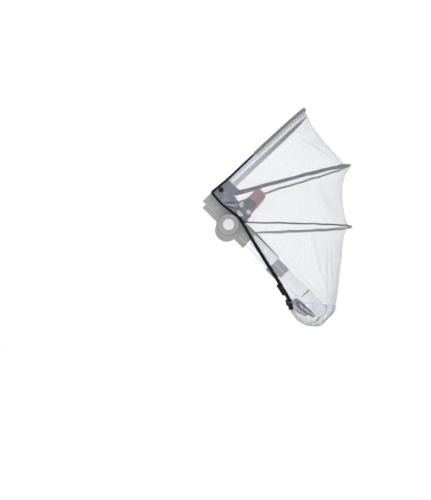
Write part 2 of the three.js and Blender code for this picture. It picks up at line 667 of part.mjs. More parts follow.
const buildFittings = () => {
  addPair('patch', sidePlate(PATCH_OUTLINE, PATCH_IN, PATCH_THICK), patchCloth);
  const snapIn = PATCH_IN + PATCH_THICK + GAP;
  const snap = sideDisc(SNAP.radius, snapIn, snapIn + SNAP.tall, 20);
  snap.translate(SNAP.x, 0, SNAP.z);
  addPair('snap', snap, blackPlastic);
  const lean = Math.atan2(50, 79);
  addPair('slider', fittingBlock(SLIDER, lean, 0), blackPlastic, fittingBlock(SLIDER, lean, 1));
  addPair('clip', fittingBlock(CLIP, 0.2, 0), blackPlastic, fittingBlock(CLIP, 0.2, 1));
};

buildNet();
buildHoops();
buildBow();
buildBinding();
buildSideFrame();
buildFoot();
buildBumper();
buildFittings();

export default part;
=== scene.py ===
# %% [markdown]
# A stroller mosquito net, stretched over two hoops on the frame of a stroller seat.
# The measured solids are loaded first and fix where everything goes. Each piece is then
# made again with its real surface: sheer net, woven tape, elastic, satin metal and leather.

# %% Load the measured frame
import math

import bmesh
import bpy
import numpy as np
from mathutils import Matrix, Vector


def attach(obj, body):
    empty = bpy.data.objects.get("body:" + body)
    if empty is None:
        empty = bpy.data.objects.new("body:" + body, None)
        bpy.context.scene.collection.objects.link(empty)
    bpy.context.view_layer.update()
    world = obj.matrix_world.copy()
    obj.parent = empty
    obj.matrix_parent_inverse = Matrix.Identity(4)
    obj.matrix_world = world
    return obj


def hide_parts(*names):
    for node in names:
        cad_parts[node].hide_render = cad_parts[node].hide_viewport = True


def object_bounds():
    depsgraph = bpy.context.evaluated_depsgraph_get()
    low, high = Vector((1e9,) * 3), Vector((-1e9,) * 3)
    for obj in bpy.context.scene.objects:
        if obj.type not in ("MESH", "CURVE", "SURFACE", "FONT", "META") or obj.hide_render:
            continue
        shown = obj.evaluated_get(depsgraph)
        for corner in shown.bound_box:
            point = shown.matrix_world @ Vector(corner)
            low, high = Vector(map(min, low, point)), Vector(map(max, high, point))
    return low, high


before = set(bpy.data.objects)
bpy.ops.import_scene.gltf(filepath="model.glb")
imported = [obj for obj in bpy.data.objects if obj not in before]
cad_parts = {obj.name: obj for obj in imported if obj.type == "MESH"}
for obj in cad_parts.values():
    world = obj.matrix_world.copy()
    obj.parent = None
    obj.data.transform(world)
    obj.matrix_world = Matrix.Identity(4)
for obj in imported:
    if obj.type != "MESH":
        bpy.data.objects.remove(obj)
cad_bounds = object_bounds()
print("solids", len(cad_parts), "box", cad_bounds)

# %% [markdown]
# Sizes are written in millimetres, as a maker would, and turned to metres when a mesh is made.
# The origin is on the outer face of the right hub cap, so the middle of the stroller lies
# half its width to the left of it. All shapes below are worked out about that middle, and
# hand is -1 on the right side of it and 1 on the left one. CORNERS are the signs of the four
# corners of a block, one after the other.

# %% Units and the middle of the stroller
MM = 0.001
MIDDLE = np.array([0.0, 236.0, 0.0])
SIDES = {"right": -1, "left": 1}
CORNERS = ((-1, -1), (1, -1), (1, 1), (-1, 1))


def smooth(value, low=0.0, high=1.0):
    """Rises from 0 at low to 1 at high with flat ends: t squared times three less twice t."""
    t = np.clip((np.asarray(value, float) - low) / (high - low), 0, 1)
    return t * t * (3 - 2 * t)


def bell(value, wide):
    """1 at zero, falling off on both sides: e to the power of minus (value / wide) squared."""
    return np.exp(-((value / wide) ** 2))


def link(name, data):
    """Puts a mesh, a camera or a lamp into the scene as an object."""
    thing = bpy.data.objects.new(name, data)
    bpy.context.scene.collection.objects.link(thing)
    return thing


# %% [markdown]
# The camera stands low at the right side of the stroller, level with the foot of the net, and looks
# across it with a long lens. Its place and aim are worked out from the photograph: the
# lines that run across the stroller all point at one place in the picture.

# %% Camera
PICTURE = (431, 500)
LENS_PIXELS = 1750
VANISH = (200, 305)
CAMERA_PLACE = np.array([-92.5, -5890.0, -260.4])
SENSOR = 36


def camera_axes():
    """Forward, right and up. Forward is turned until the line across the stroller meets VANISH."""
    side = (VANISH[0] - PICTURE[0] / 2) / LENS_PIXELS
    rise = -(VANISH[1] - PICTURE[1] / 2) / LENS_PIXELS
    yaw = math.atan(-side)
    pitch = math.atan(-rise * math.cos(yaw))
    forward = Vector((math.sin(yaw) * math.cos(pitch), math.cos(yaw) * math.cos(pitch), math.sin(pitch)))
    right = forward.cross(Vector((0, 0, 1))).normalized()
    return forward, right, right.cross(forward)


def add_camera():
    data = bpy.data.cameras.new("camera")
    data.sensor_width = SENSOR
    data.lens = LENS_PIXELS / max(PICTURE) * SENSOR
    data.clip_end = 60
    camera = link("camera", data)
    forward, _, _ = camera_axes()
    camera.location = Vector((CAMERA_PLACE + MIDDLE) * MM)
    camera.rotation_euler = forward.to_track_quat("-Z", "Y").to_euler()
    bpy.context.scene.camera = camera
    print("camera at", tuple(round(v, 3) for v in camera.location), "lens", round(data.lens, 1))


add_camera()

# %% [markdown]
# A sheer net only shows against light, so the studio is white: a white floor where the wheels
# would stand, a white sky, and three large soft lamps. The lamp from the right gives
# the tubes and the hoops their shading.

# %% Floor, sky and lamps
FLOOR_HEIGHT = -745.0
FLOOR_REACH = 14.0
FLOOR_GLOW = 0.46
SKY_BELOW, SKY_ABOVE = 0.36, 0.64
LAMPS = {
    "lamp_top": ((0.3, -0.9, 2.4), 1.8, 30),
    "lamp_side": ((-1.9, -2.2, 1.1), 1.4, 22),
    "lamp_back": ((1.6, 2.6, 1.4), 1.6, 14),
}


def add_floor():
    mesh = bpy.data.meshes.new("floor")
    corners = [(FLOOR_REACH * x, FLOOR_REACH * y, FLOOR_HEIGHT * MM) for x, y in CORNERS]
    mesh.from_pydata(corners, [], [(0, 1, 2, 3)])
    floor = link("floor", mesh)
    material = bpy.data.materials.new("floor")
    material.use_nodes = True
    shader = material.node_tree.nodes["Principled BSDF"]
    shader.inputs["Base Color"].default_value = (0.9, 0.9, 0.9, 1)
    shader.inputs["Roughness"].default_value = 0.9
    shader.inputs["Emission Color"].default_value = (1, 1, 1, 1)
    shader.inputs["Emission Strength"].default_value = FLOOR_GLOW
    mesh.materials.append(material)


def add_world():
    """The sky is plain white to look at, and lights the object less from below than from above."""
    world = bpy.data.worlds.new("studio")
    world.use_nodes = True
    tree = world.node_tree
    back = tree.nodes["Background"]
    place = tree.nodes.new("ShaderNodeTexCoord")
    split = tree.nodes.new("ShaderNodeSeparateXYZ")
    shade = tree.nodes.new("ShaderNodeMapRange")
    shade.inputs["From Min"].default_value = -1
    shade.inputs["To Min"].default_value = SKY_BELOW
    shade.inputs["To Max"].default_value = SKY_ABOVE
    seen = tree.nodes.new("ShaderNodeLightPath")
    choose = tree.nodes.new("ShaderNodeMix")
    choose.inputs["B"].default_value = 1.0
    tree.links.new(place.outputs["Generated"], split.inputs[0])
    tree.links.new(split.outputs["Z"], shade.inputs["Value"])
    tree.links.new(seen.outputs["Is Camera Ray"], choose.inputs["Factor"])
    tree.links.new(shade.outputs[0], choose.inputs["A"])
    tree.links.new(choose.outputs[0], back.inputs["Strength"])
    back.inputs["Color"].default_value = (1, 1, 1, 1)
    bpy.context.scene.world = world


def add_lamp(name, place, aim, size, power):
    data = bpy.data.lights.new(name, "AREA")
    data.shape = "DISK"
    data.size = size
    data.energy = power
    lamp = link(name, data)
    lamp.location = place
    lamp.rotation_euler = (Vector(aim) - Vector(place)).to_track_quat("-Z", "Y").to_euler()


CENTRE = tuple(np.mean(cad_bounds, axis=0))
add_floor()
add_world()
for lamp_name, (place, size, power) in LAMPS.items():
    add_lamp(lamp_name, place, CENTRE, size, power)
bpy.context.scene.view_settings.view_transform = "Standard"
print("stage centre", tuple(round(float(v), 3) for v in CENTRE))

# %% [markdown]
# Every surface here is a grid of points. One helper turns such a grid into a mesh: it may be
# closed round a section, capped at its ends, and it keeps the distance along both of its
# directions as a UV map, in metres, so that a weave has its real scale on any piece.

# %% From a grid of points to a mesh


def run_along(points, axis=0):
    """Distance run along a line of points, or down (0) or across (1) a grid, in millimetres."""
    steps = np.linalg.norm(np.diff(points, axis=axis), axis=-1)
    return np.concatenate([0 * steps.take([0], axis), np.cumsum(steps, axis=axis)], axis=axis)


def at_places(places, known, rows):
    """Rows in between the known ones, column by column, along straight lines."""
    return np.stack([np.interp(places, known, column) for column in np.asarray(rows, float).T], 1)


def unwrap(grid, round_section):
    """Distance run along each direction of the grid, counted across from its middle column."""
    if round_section:
        grid = np.concatenate([grid, grid[:, :1]], axis=1)
    u, v = run_along(grid, 1), run_along(grid, 0)
    return np.stack([u - u[:, u.shape[1] // 2][:, None], v], axis=2)


def grid_mesh(grid, round_section=False, capped=False):
    """Faces join each point to its next across and down; a round section joins its last to its first."""
    rows, columns = grid.shape[:2]
    points = (grid.reshape(-1, 3) + MIDDLE) * MM
    index = np.arange(rows * columns).reshape(rows, columns)
    if round_section:
        index = np.concatenate([index, index[:, :1]], axis=1)
    uv = unwrap(grid, round_section)
    faces, corner_uv = (
        np.stack([of[:-1, :-1], of[1:, :-1], of[1:, 1:], of[:-1, 1:]], axis=2) for of in (index, uv)
    )
    faces, corner_uv = faces.reshape(-1, 4).tolist(), corner_uv.reshape(-1, 2)
    if capped:
        first, last = index[0, :columns], index[-1, :columns]
        faces += [first.tolist(), last[::-1].tolist()]
        corner_uv = np.concatenate([corner_uv, np.zeros((2 * columns, 2))])
    mesh = bpy.data.meshes.new("grid")
    mesh.from_pydata(points.tolist(), [], faces)
    layer = mesh.uv_layers.new(name="UVMap")
    layer.data.foreach_set("uv", (corner_uv * MM).astype(np.float32).ravel())
    mesh.polygons.foreach_set("use_smooth", np.ones(len(faces), bool))
    mesh.update()
    return mesh


def face_out(mesh):
    """Turns the faces of a closed mesh outwards: the volumes from origin to face add up above zero."""
    mesh.calc_loop_triangles()
    corners = np.zeros(len(mesh.loop_triangles) * 3, np.int32)
    mesh.loop_triangles.foreach_get("vertices", corners)
    points = np.zeros(len(mesh.vertices) * 3, np.float32)
    mesh.vertices.foreach_get("co", points)
    a, b, c = points.reshape(-1, 3)[corners.reshape(-1, 3)].transpose(1, 0, 2).astype(float)
    if np.einsum("ij,ij->i", a, np.cross(b, c)).sum() < 0:
        mesh.flip_normals()


def add_piece(name, mesh, material, slot, *nodes):
    """Links a finished mesh, gives it its finish, lets it ride on the frame and stand for its solids."""
    piece = link(name, mesh)
    mesh.name = name
    mesh.materials.clear()
    mesh.materials.append(material)
    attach(piece, "root")
    if nodes:
        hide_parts(*nodes)
    return piece


print("steps of 3 and 4 mm run", run_along(np.array([[0, 0], [3, 0], [3, 4]])))

# %% [markdown]
# The whole net is ruled by arches. A hoop is an arch in its own plane: it starts at a base on
# the right side, runs forward, rounds over its tip in the middle and comes back to the left
# base. A superellipse gives straight arms and a round front with a single number.

# %% Arches
ARCH_SIZES = "base_x base_z tip_x tip_z half square waist drop lift".split()
NET_OUT = 211.5
DOWN_TUBE = np.array([math.cos(math.pi / 4), 0.0, -math.sin(math.pi / 4)])
OFF_TUBE = np.array([math.sin(math.pi / 4), 0.0, math.cos(math.pi / 4)])
ARCH_STEP = 0.004


def columns_of(labels, rows):
    """A table with one row for each place, as a dictionary of its columns."""
    return dict(zip(labels.split(), np.array(rows, float).T))


def table(*rows):
    """A table of arches, one row each; wider says how much further out than NET_OUT the arch goes."""
    columns = columns_of("base_x base_z tip_x tip_z wider square waist lift", rows)
    wider = columns.pop("wider")
    return {**columns, "half": NET_OUT + wider, "drop": 0 * wider}


def arch(fade=1, **sizes):
    """The sizes of one arch; those that aren't given are 0."""
    return {**{key: np.array(sizes.get(key, 0.0), float) for key in ARCH_SIZES}, "fade": fade}


def through_rows(rows, place):
    """A smooth curve through the rows of a table, column by column, at places from 0 to the last row."""
    count = len(rows["half"])
    at = np.clip(place, 0, count - 1)
    i = np.minimum(at.astype(int), count - 2)
    f = at - i
    out = {}
    for key, column in rows.items():
        before, start = column[np.maximum(i - 1, 0)], column[i]
        end, after = column[i + 1], column[np.minimum(i + 2, count - 1)]
        lead, trail = (end - before) / 2, (after - start) / 2
        out[key] = (
            (2 * f**3 - 3 * f**2 + 1) * start
            + (f**3 - 2 * f**2 + f) * lead
            + (3 * f**2 - 2 * f**3) * end
            + (f**3 - f**2) * trail
        )
    return out


def arch_points(shape, side):
    """side runs from -1 at the right base to 1 at the left one. With angle = |side| x 90 degrees the
    point lies cos(angle)^(2/square) of the way from base to tip and sin(angle)^(2/square) x half to
    its side. Towards its base the left arm is lower by drop x (1 - along)^fade, and further off the
    side frame by lift x (1 - along)."""
    angle = np.abs(side) * math.pi / 2
    along = np.clip(np.cos(angle), 0, 1) ** (2 / shape["square"])
    across = np.sin(angle) ** (2 / shape["square"])
    waist = shape["waist"] * np.sin(2 * angle) ** 2
    x = shape["base_x"] + (shape["tip_x"] - shape["base_x"]) * along
    y = np.sign(side) * (shape["half"] * across - waist)
    z = shape["base_z"] + (shape["tip_z"] - shape["base_z"]) * along
    z = z - np.where(side > 0, shape["drop"] * (1 - along) ** shape.get("fade", 1), 0)
    lift = np.where(side > 0, shape["lift"] * (1 - along), 0)
    return np.stack(np.broadcast_arrays(x, y, z), axis=-1) + lift[..., None] * OFF_TUBE


def unit(vectors):
    """The same directions with a length of 1."""
    return vectors / np.maximum(np.linalg.norm(vectors, axis=-1, keepdims=True), 1e-12)


def arch_frame(shape, side):
    """Middle line, the direction square to the arch's plane, and the direction outwards in it."""
    ahead = arch_points(shape, np.minimum(side + ARCH_STEP, 1))
    behind = arch_points(shape, np.maximum(side - ARCH_STEP, -1))
    run, rise = shape["tip_x"] - shape["base_x"], shape["tip_z"] - shape["base_z"]
    normal = unit(np.array([float(rise), 0.0, -float(run)]))
    outward = unit(np.cross(normal, ahead - behind))
    return arch_points(shape, side), np.broadcast_to(normal, outward.shape), outward


HOOP_OUT = 211.2
UPPER_HOOP = arch(base_x=20, base_z=101, tip_x=404, tip_z=207, half=HOOP_OUT, square=2.5, drop=12, fade=4)
LOWER_HOOP = arch(base_x=55, base_z=8, tip_x=413, tip_z=2, half=HOOP_OUT, square=2.75, drop=18)
BOW = arch(base_x=-46, base_z=97, tip_x=256.5, tip_z=379.5, half=207.9, square=3.4)
print("upper hoop tip", arch_points(UPPER_HOOP, np.array(0.0)))

# %% [markdown]
# Each hoop is a springy rod in a flat sleeve of grey tape. At the side of the net the tape lies
# flat and shows its width; at the tip it stands out from the net as a small fin. So its half
# height and half depth are given at a few places from right to left.

# %% Casing sizes


def casing_at(sizes, key, side):
    """Half size between two places of the table, eased from one to the next."""
    places = sizes["side"]
    i = np.clip(np.searchsorted(places, side, side="right") - 1, 0, len(places) - 2)
    f = smooth((side - places[i]) / (places[i + 1] - places[i]))
    return sizes[key][i] * (1 - f) + sizes[key][i + 1] * f


UPPER_CASING = columns_of("side tall deep", [
    (-1, 8, 1), (-0.85, 6, 1.6), (-0.25, 6.2, 4), (0, 3.2, 12.5), (0.25, 3.5, 4), (1, 4, 1),
])
LOWER_CASING = columns_of("side tall deep", [
    (-1, 3, 1), (-0.25, 3.2, 4), (0, 3, 6), (0.25, 5.2, 4), (0.85, 4.6, 1.6), (1, 3.6, 1),
])
CASING_LAP = 2.4
print("upper casing at the right is", 2 * UPPER_CASING["tall"][0], "mm high")

# %% [markdown]
# A finish that several materials share is made once, as a node group. The weave group draws
# threads that cross at a given pitch on a piece's UV map, and puts out where the threads
# are and how high they stand. Shaders stay in the materials themselves.

# %% Weave and grain as node groups


def math_node(tree, operation, first, second=None):
    """One step of arithmetic in a material; each value is a number or another node's output."""
    node = tree.nodes.new("ShaderNodeMath")
    node.operation = operation
    for socket, value in zip(node.inputs, (first, second)):
        if isinstance(value, bpy.types.NodeSocket):
            tree.links.new(value, socket)
        elif value is not None:
            socket.default_value = value
    return node.outputs[0]


def new_group(name, inputs, outputs):
    """An empty node group, with what it is given and the places for its results."""
    group = bpy.data.node_groups.new(name, "ShaderNodeTree")
    for label, kind, value in inputs:
        socket = group.interface.new_socket(label, in_out="INPUT", socket_type=kind)
        socket.default_value = value
    for label, kind in outputs:
        group.interface.new_socket(label, in_out="OUTPUT", socket_type=kind)
    return group, group.nodes.new("NodeGroupInput").outputs, group.nodes.new("NodeGroupOutput").inputs


def weave_group():
    """Height of a thread is half a sine wave across it; the mask is 1 where a thread lies."""
    group, given, result = new_group(
        "weave",
        [("Pitch", "NodeSocketFloat", 0.0012), ("Thread", "NodeSocketFloat", 0.3)],
        [("Mask", "NodeSocketFloat"), ("Height", "NodeSocketFloat")],
    )
    coordinates = group.nodes.new("ShaderNodeUVMap")
    coordinates.uv_map = "UVMap"
    split = group.nodes.new("ShaderNodeSeparateXYZ")
    group.links.new(coordinates.outputs["UV"], split.inputs[0])
    waves = []
    for axis in ("X", "Y"):
        turns = math_node(group, "DIVIDE", split.outputs[axis], given["Pitch"])
        angle = math_node(group, "MULTIPLY", turns, 2 * math.pi)
        wave = math_node(group, "COSINE", angle)
        waves.append(math_node(group, "MULTIPLY", math_node(group, "ADD", wave, 1.0), 0.5))
    higher = math_node(group, "MAXIMUM", waves[0], waves[1])
    edge = math_node(group, "SUBTRACT", 1.0, given["Thread"])
    over = math_node(group, "SUBTRACT", higher, edge)
    mask = math_node(group, "MULTIPLY", over, 8.0)
    clamp = group.nodes.new("ShaderNodeClamp")
    group.links.new(mask, clamp.inputs[0])
    group.links.new(clamp.outputs[0], result["Mask"])
    group.links.new(higher, result["Height"])
    return group


def blotch_group():
    """Soft variation over the object, between 0 and 1, at a size in metres."""
    group, given, result = new_group(
        "blotch",
        [("Size", "NodeSocketFloat", 0.05), ("Detail", "NodeSocketFloat", 3.0)],
        [("Value", "NodeSocketFloat")],
    )
    place = group.nodes.new("ShaderNodeTexCoord")
    noise = group.nodes.new("ShaderNodeTexNoise")
    scale = math_node(group, "DIVIDE", 1.0, given["Size"])
    group.links.new(place.outputs["Object"], noise.inputs["Vector"])
    group.links.new(scale, noise.inputs["Scale"])
    group.links.new(given["Detail"], noise.inputs["Detail"])
    group.links.new(noise.outputs["Fac"], result["Value"])
    return group


WEAVE = weave_group()
BLOTCH = blotch_group()
print("groups", [group.name for group in bpy.data.node_groups])

# %% [markdown]
# A material is put together from small steps: a group is used with its own values, a value picks a
# colour between two, its range is spread, or it stands out as a bump.

# %% Steps of a material


def use_group(tree, group, **values):
    """Puts a node group into a material with its own values."""
    node = tree.nodes.new("ShaderNodeGroup")
    node.node_tree = group
    for label, value in values.items():
        node.inputs[label].default_value = value
    return node.outputs


def colour_between(tree, value, low, high):
    """A colour that runs from low to high with a value."""
    mix = tree.nodes.new("ShaderNodeMix")
    mix.data_type = "RGBA"
    tree.links.new(value, mix.inputs["Factor"])
    mix.inputs[6].default_value = (*low, 1)
    mix.inputs[7].default_value = (*high, 1)
    return mix.outputs[2]


def spread(tree, value, low, high):
    """Maps a value from 0..1 to low..high."""
    node = tree.nodes.new("ShaderNodeMapRange")
    tree.links.new(value, node.inputs["Value"])
    node.inputs["To Min"].default_value = low
    node.inputs["To Max"].default_value = high
    return node.outputs[0]


def bump(tree, shader, height, distance, strength=1.0):
    """Lets a height stand out of the surface by a distance in metres."""
    node = tree.nodes.new("ShaderNodeBump")
    node.inputs["Distance"].default_value = distance
    node.inputs["Strength"].default_value = strength
    tree.links.new(height, node.inputs["Height"])
    tree.links.new(node.outputs["Normal"], shader.inputs["Normal"])


def kept(tree, label):
    """Reads the value that a mesh keeps at its points under a label."""
    node = tree.nodes.new("ShaderNodeAttribute")
    node.attribute_name = label
    return node.outputs["Fac"]


def new_material(name, rough=0.5, gloss=0.5, sheen=0.0, metal=0.0):
    """A material with its shader's four plain values."""
    material = bpy.data.materials.new(name)
    material.use_nodes = True
    tree = material.node_tree
    shader = tree.nodes["Principled BSDF"]
    shader.inputs["Roughness"].default_value = rough
    shader.inputs["Specular IOR Level"].default_value = gloss
    shader.inputs["Sheen Weight"].default_value = sheen
    shader.inputs["Metallic"].default_value = metal
    return material, tree, shader


print("a weave takes and gives", [socket.name for socket in WEAVE.interface.items_tree])

# %% [markdown]
# Net is mostly holes. Instead of modelling them, the material is see-through between its
# threads: the weave's mask drives Alpha. The threads are white with a cold tint, and the net looks
# denser where it is gathered, which is what a second mask from an attribute does.

# %% Cloth materials


def net_material(name, low, high, hole, thread, rough):
    """Alpha runs from hole to thread with the weave's mask, and rises where the net is dense."""
    material, tree, shader = new_material(name, rough, 0.3, 0.1)
    weave = use_group(tree, WEAVE, Pitch=0.0013, Thread=0.12)
    patchy = use_group(tree, BLOTCH, Size=0.09)["Value"]
    tree.links.new(colour_between(tree, patchy, low, high), shader.inputs["Base Color"])
    alpha = math_node(tree, "ADD", spread(tree, weave["Mask"], hole, thread), kept(tree, "dense"))
    tree.links.new(alpha, shader.inputs["Alpha"])
    bump(tree, shader, weave["Height"], 0.0002, 0.4)
    return material


def cloth_material(name, low, high, pitch, depth=0.0003, rough=0.85, sheen=0.2, gloss=0.25):
    """Woven cloth: two tones over its weave, with a bump of its threads."""
    material, tree, shader = new_material(name, rough, gloss, sheen)
    weave = use_group(tree, WEAVE, Pitch=pitch, Thread=0.5)
    patchy = use_group(tree, BLOTCH, Size=0.03)["Value"]
    tone = math_node(tree, "MULTIPLY", spread(tree, weave["Height"], 0.55, 1.0), patchy)
    tree.links.new(colour_between(tree, spread(tree, tone, 0, 1.6), low, high), shader.inputs["Base Color"])
    bump(tree, shader, weave["Height"], depth)
    return material


NET = net_material("net", (0.54, 0.555, 0.61), (0.66, 0.67, 0.715), 0.06, 0.66, 0.85)
NET_GATHERED = net_material("net_gathered", (0.37, 0.385, 0.43), (0.66, 0.675, 0.715), 0.2, 0.8, 0.4)
GREY_TAPE = cloth_material("grey_tape", (0.105, 0.105, 0.125), (0.21, 0.21, 0.245), 0.0011)
BLACK_ELASTIC = cloth_material(
    "black_elastic", (0.002, 0.002, 0.003), (0.012, 0.012, 0.014), 0.0012, 0.0005, sheen=0.02, gloss=0.12
)
HEM_TAPE = cloth_material("hem_tape", (0.32, 0.33, 0.37), (0.5, 0.515, 0.56), 0.0011)
LIGHT_BAND = cloth_material("light_band", (0.74, 0.78, 0.86), (0.82, 0.86, 0.93), 0.001, depth=0.0001)
# Cloth of the dark strip above the tube.
DARK_LINE_CLOTH = cloth_material("dark_line_cloth", (0.02, 0.022, 0.03), (0.07, 0.075, 0.095), 0.001)
DARK_TRIM = cloth_material("dark_trim", (0.1, 0.1, 0.095), (0.22, 0.22, 0.21), 0.0012, depth=0.0004)


def painted_light_cloth(name, low, high):
    """Woven cloth coloured from low to high by the tone kept on the mesh, a painted light: darker in the
    troughs of its folds as painted shade and lighter on their ridges as painted highlight.
    """
    material, tree, shader = new_material(name, 0.7, 0.3, 0.1)
    weave = use_group(tree, WEAVE, Pitch=0.001, Thread=0.5)
    threads = spread(tree, weave["Height"], 0.85, 1.0)
    value = math_node(tree, "MULTIPLY", kept(tree, "tone"), threads)
    tree.links.new(colour_between(tree, value, low, high), shader.inputs["Base Color"])
    bump(tree, shader, weave["Height"], 0.0003)
    return material


# The tone of these three is painted light: shade and highlight on the folds of patch and cuff, and shade
# towards the top of the bow's lining.
PATCH_CLOTH = painted_light_cloth("patch_cloth", (0.045, 0.05, 0.07), (0.36, 0.375, 0.43))
BOW_LINING = painted_light_cloth("bow_lining", (0.06, 0.06, 0.066), (0.47, 0.49, 0.54))
CUFF_CLOTH = painted_light_cloth("cuff_cloth", (0.012, 0.014, 0.03), (0.6, 0.62, 0.7))
print("cloth materials ready")

# %% [markdown]
# The hard pieces are moulded plastic, satin aluminium and leather. All are made the same way,
# with a grain and a slow change of tone: the grain is finest on aluminium, and coarse and deep
# on leather.

# %% Hard materials


def grained(name, low, high, rough, grain=0.0012, depth=0.00006, **finish):
    """Slow change of tone from low to high, roughness that follows it, and a fine grain."""
    material, tree, shader = new_material(name, **finish)
    coarse = use_group(tree, BLOTCH, Size=0.04)["Value"]
    fine = use_group(tree, BLOTCH, Size=grain, Detail=1.0)["Value"]
    tree.links.new(colour_between(tree, coarse, low, high), shader.inputs["Base Color"])
    tree.links.new(spread(tree, coarse, rough - 0.06, rough + 0.06), shader.inputs["Roughness"])
    bump(tree, shader, fine, depth)
    return material


GREY_PLASTIC = grained("grey_plastic", (0.26, 0.26, 0.265), (0.335, 0.335, 0.34), 0.5)
BLOCK_PLASTIC = grained("block_plastic", (0.19, 0.2, 0.245), (0.26, 0.275, 0.33), 0.4)
DARK_PLASTIC = grained("dark_plastic", (0.022, 0.03, 0.045), (0.05, 0.062, 0.085), 0.35)
PAD_PLASTIC = grained("pad_plastic", (0.42, 0.43, 0.47), (0.56, 0.57, 0.62), 0.4)
WHITE_PLASTIC = grained("white_plastic", (0.6, 0.6, 0.61), (0.7, 0.7, 0.71), 0.35)
BLACK_PLASTIC = grained("black_plastic", (0.003, 0.003, 0.004), (0.009, 0.009, 0.011), 0.3, gloss=0.22)
ALUMINIUM = grained("aluminium", (0.82, 0.85, 0.9), (0.92, 0.94, 0.98), 0.34, 0.0008, 0.00003, metal=0.4)
LEATHER = grained("leather", (0.21, 0.1, 0.095), (0.35, 0.19, 0.175), 0.5, 0.0022, 0.0003)
print("hard materials ready")

# %% [markdown]
# The net is cut in four panels. The top one runs from the hood bow to the upper hoop, the middle one
# between the hoops, and the lower one down to the foot, where a pocket takes the end of the
# frame. Each row of a table is one arch across the stroller: its base at the side, its tip
# in the middle, and how square and how waisted it is. A net that is pulled tight between hoops
# curves inwards, and the rows between two hoops carry that.

# %% Panel tables
TOP_ROWS = table(
    (-52, 108, 253.5, 394, 0, 3.4, 0, 0),
    (-42, 108, 269, 372, 0.5, 3.5, 0, 0),
    (-33, 109, 281.5, 345, 0, 3.1, 6, 0),
    (-24, 110, 306.5, 313, 0, 2.9, 12, 0),
    (-14, 111, 332.5, 281.5, 0, 2.7, 14, 0),
    (-4, 112, 360.5, 250, 0, 2.6, 9, 0),
    (7, 113, 384, 225, 0, 2.5, 3, 0),
    (17, 113, 396, 211, 0, 2.5, 0, 0),
)
MIDDLE_ROWS = table(
    (14, 88, 396, 202, 0, 2.5, 0, 0),
    (2, 80, 388, 174, 0, 2.5, 7, 0),
    (-8, 69, 385, 144, 0, 2.5, 13, 0),
    (-4, 56, 385, 112, 0, 2.5, 16, 0),
    (15, 41, 387.5, 82, 0, 2.5, 15, 0),
    (34, 27, 390.5, 52, 0, 2.5, 9, 0),
    (46, 14, 394, 27, 0, 2.5, 4, 0),
    (51, 6, 399, 2, 0, 2.5, 0, 0),
)
LOWER_ROWS = table(
    (51, 5, 399, 2, 0, 2.5, 0, 0),
    (60, -12, 389, -25, 0, 2.5, 6, 3),
    (78, -46, 386, -58, 0, 2.6, 8, 9),
    (99, -84, 382, -105, 0, 2.8, 6, 15),
    (124, -126, 376, -150, 0, 3, 3, 19),
    (151, -168, 370, -192, 0, 3.7, 1, 19),
    (177, -208, 363, -230, 0, 4.6, 0, 19),
    (200, -247, 357, -258, 0, 5.4, 0, 19),
)
POCKET_ROWS = table(
    (200.6, -248.4, 357, -259.4, 0, 5.4, 0, 19),
    (209, -280, 355, -279, 0, 5.2, 0, 19),
    (219, -301, 336, -301, -1, 4.6, 0, 18),
    (238, -314, 317, -320, -7, 4, 0, 13),
    (250, -322, 300, -328, -24, 3.2, 0, 7),
    (250, -323, 282, -328, -48, 3, 0, 4),
    (247, -318, 264, -321, -66, 3, 0, 3),
)
tables = (TOP_ROWS, MIDDLE_ROWS, LOWER_ROWS, POCKET_ROWS)
print("panels have", [len(rows["half"]) for rows in tables], "rows")

# %% [markdown]
# Folds are what makes it cloth. Each crease runs from one place on a panel to another, and is a soft
# ridge with a narrow trough beside it. They are placed where the photograph
# shows them: two across the top panel, and a fan that runs down to the foot.

# %% Creases
FOLD_COLUMNS = "side down to_side to_down high wide".split()


def folds(*rows):
    """Creases, one row each: where it starts, where it ends, how high and how wide it is."""
    return [dict(zip(FOLD_COLUMNS, row)) for row in rows]


def fold_height(creases, side, down):
    """A bell across the line from start to end of each crease, fading out at both ends."""
    total = np.zeros(np.broadcast(side, down).shape)
    for crease in creases:
        run_side = crease["to_side"] - crease["side"]
        run_down = crease["to_down"] - crease["down"]
        t = (side - crease["side"]) * run_side + (down - crease["down"]) * run_down
        near = np.clip(t / (run_side**2 + run_down**2), 0, 1)
        miss_side = side - crease["side"] - near * run_side
        off = np.hypot(miss_side, down - crease["down"] - near * run_down)
        taper = np.sin(math.pi * np.clip(0.06 + 0.88 * near, 0, 1))
        total = total + crease["high"] * taper * bell(off, crease["wide"])
    return total


TOP_FOLDS = folds(
    (-0.3, 0.22, -0.16, 0.66, 3, 0.05),
    (-0.4, 0.36, -0.12, 0.86, 2.5, 0.05),
    (0.36, 0.3, 0.14, 0.8, 3, 0.05),
    (-0.35, 0.3, -0.15, 0.76, -2.2, 0.02),
    (-0.5, 0.2, -0.34, 0.5, 1.2, 0.02),
    (0.3, 0.2, 0.2, 0.7, -1.5, 0.02),
)
MIDDLE_FOLDS = folds(
    (-0.5, 0.15, -0.3, 0.85, 1.5, 0.07),
    (0.45, 0.15, 0.25, 0.85, 1.5, 0.07),
    (-0.62, 0.1, -0.5, 0.6, 0.8, 0.02),
    (-0.2, 0.3, -0.12, 0.9, 0.8, 0.02),
)
LOWER_FOLDS = folds(
    (-0.62, 0.1, -0.6, 1, 2.5, 0.05),
    (-0.42, 0.35, -0.46, 1, 4, 0.045),
    (-0.28, 0.3, -0.36, 1, 4, 0.04),
    (0.1, 0.4, 0.06, 1, 3, 0.05),
    (0.4, 0.3, 0.44, 1, 4, 0.045),
    (-0.34, 0.45, -0.41, 1, -2.5, 0.016),
    (-0.24, 0.5, -0.31, 1, -2, 0.014),
    (-0.52, 0.4, -0.51, 1, -1.6, 0.014),
    (0.3, 0.5, 0.36, 1, -2, 0.016),
)


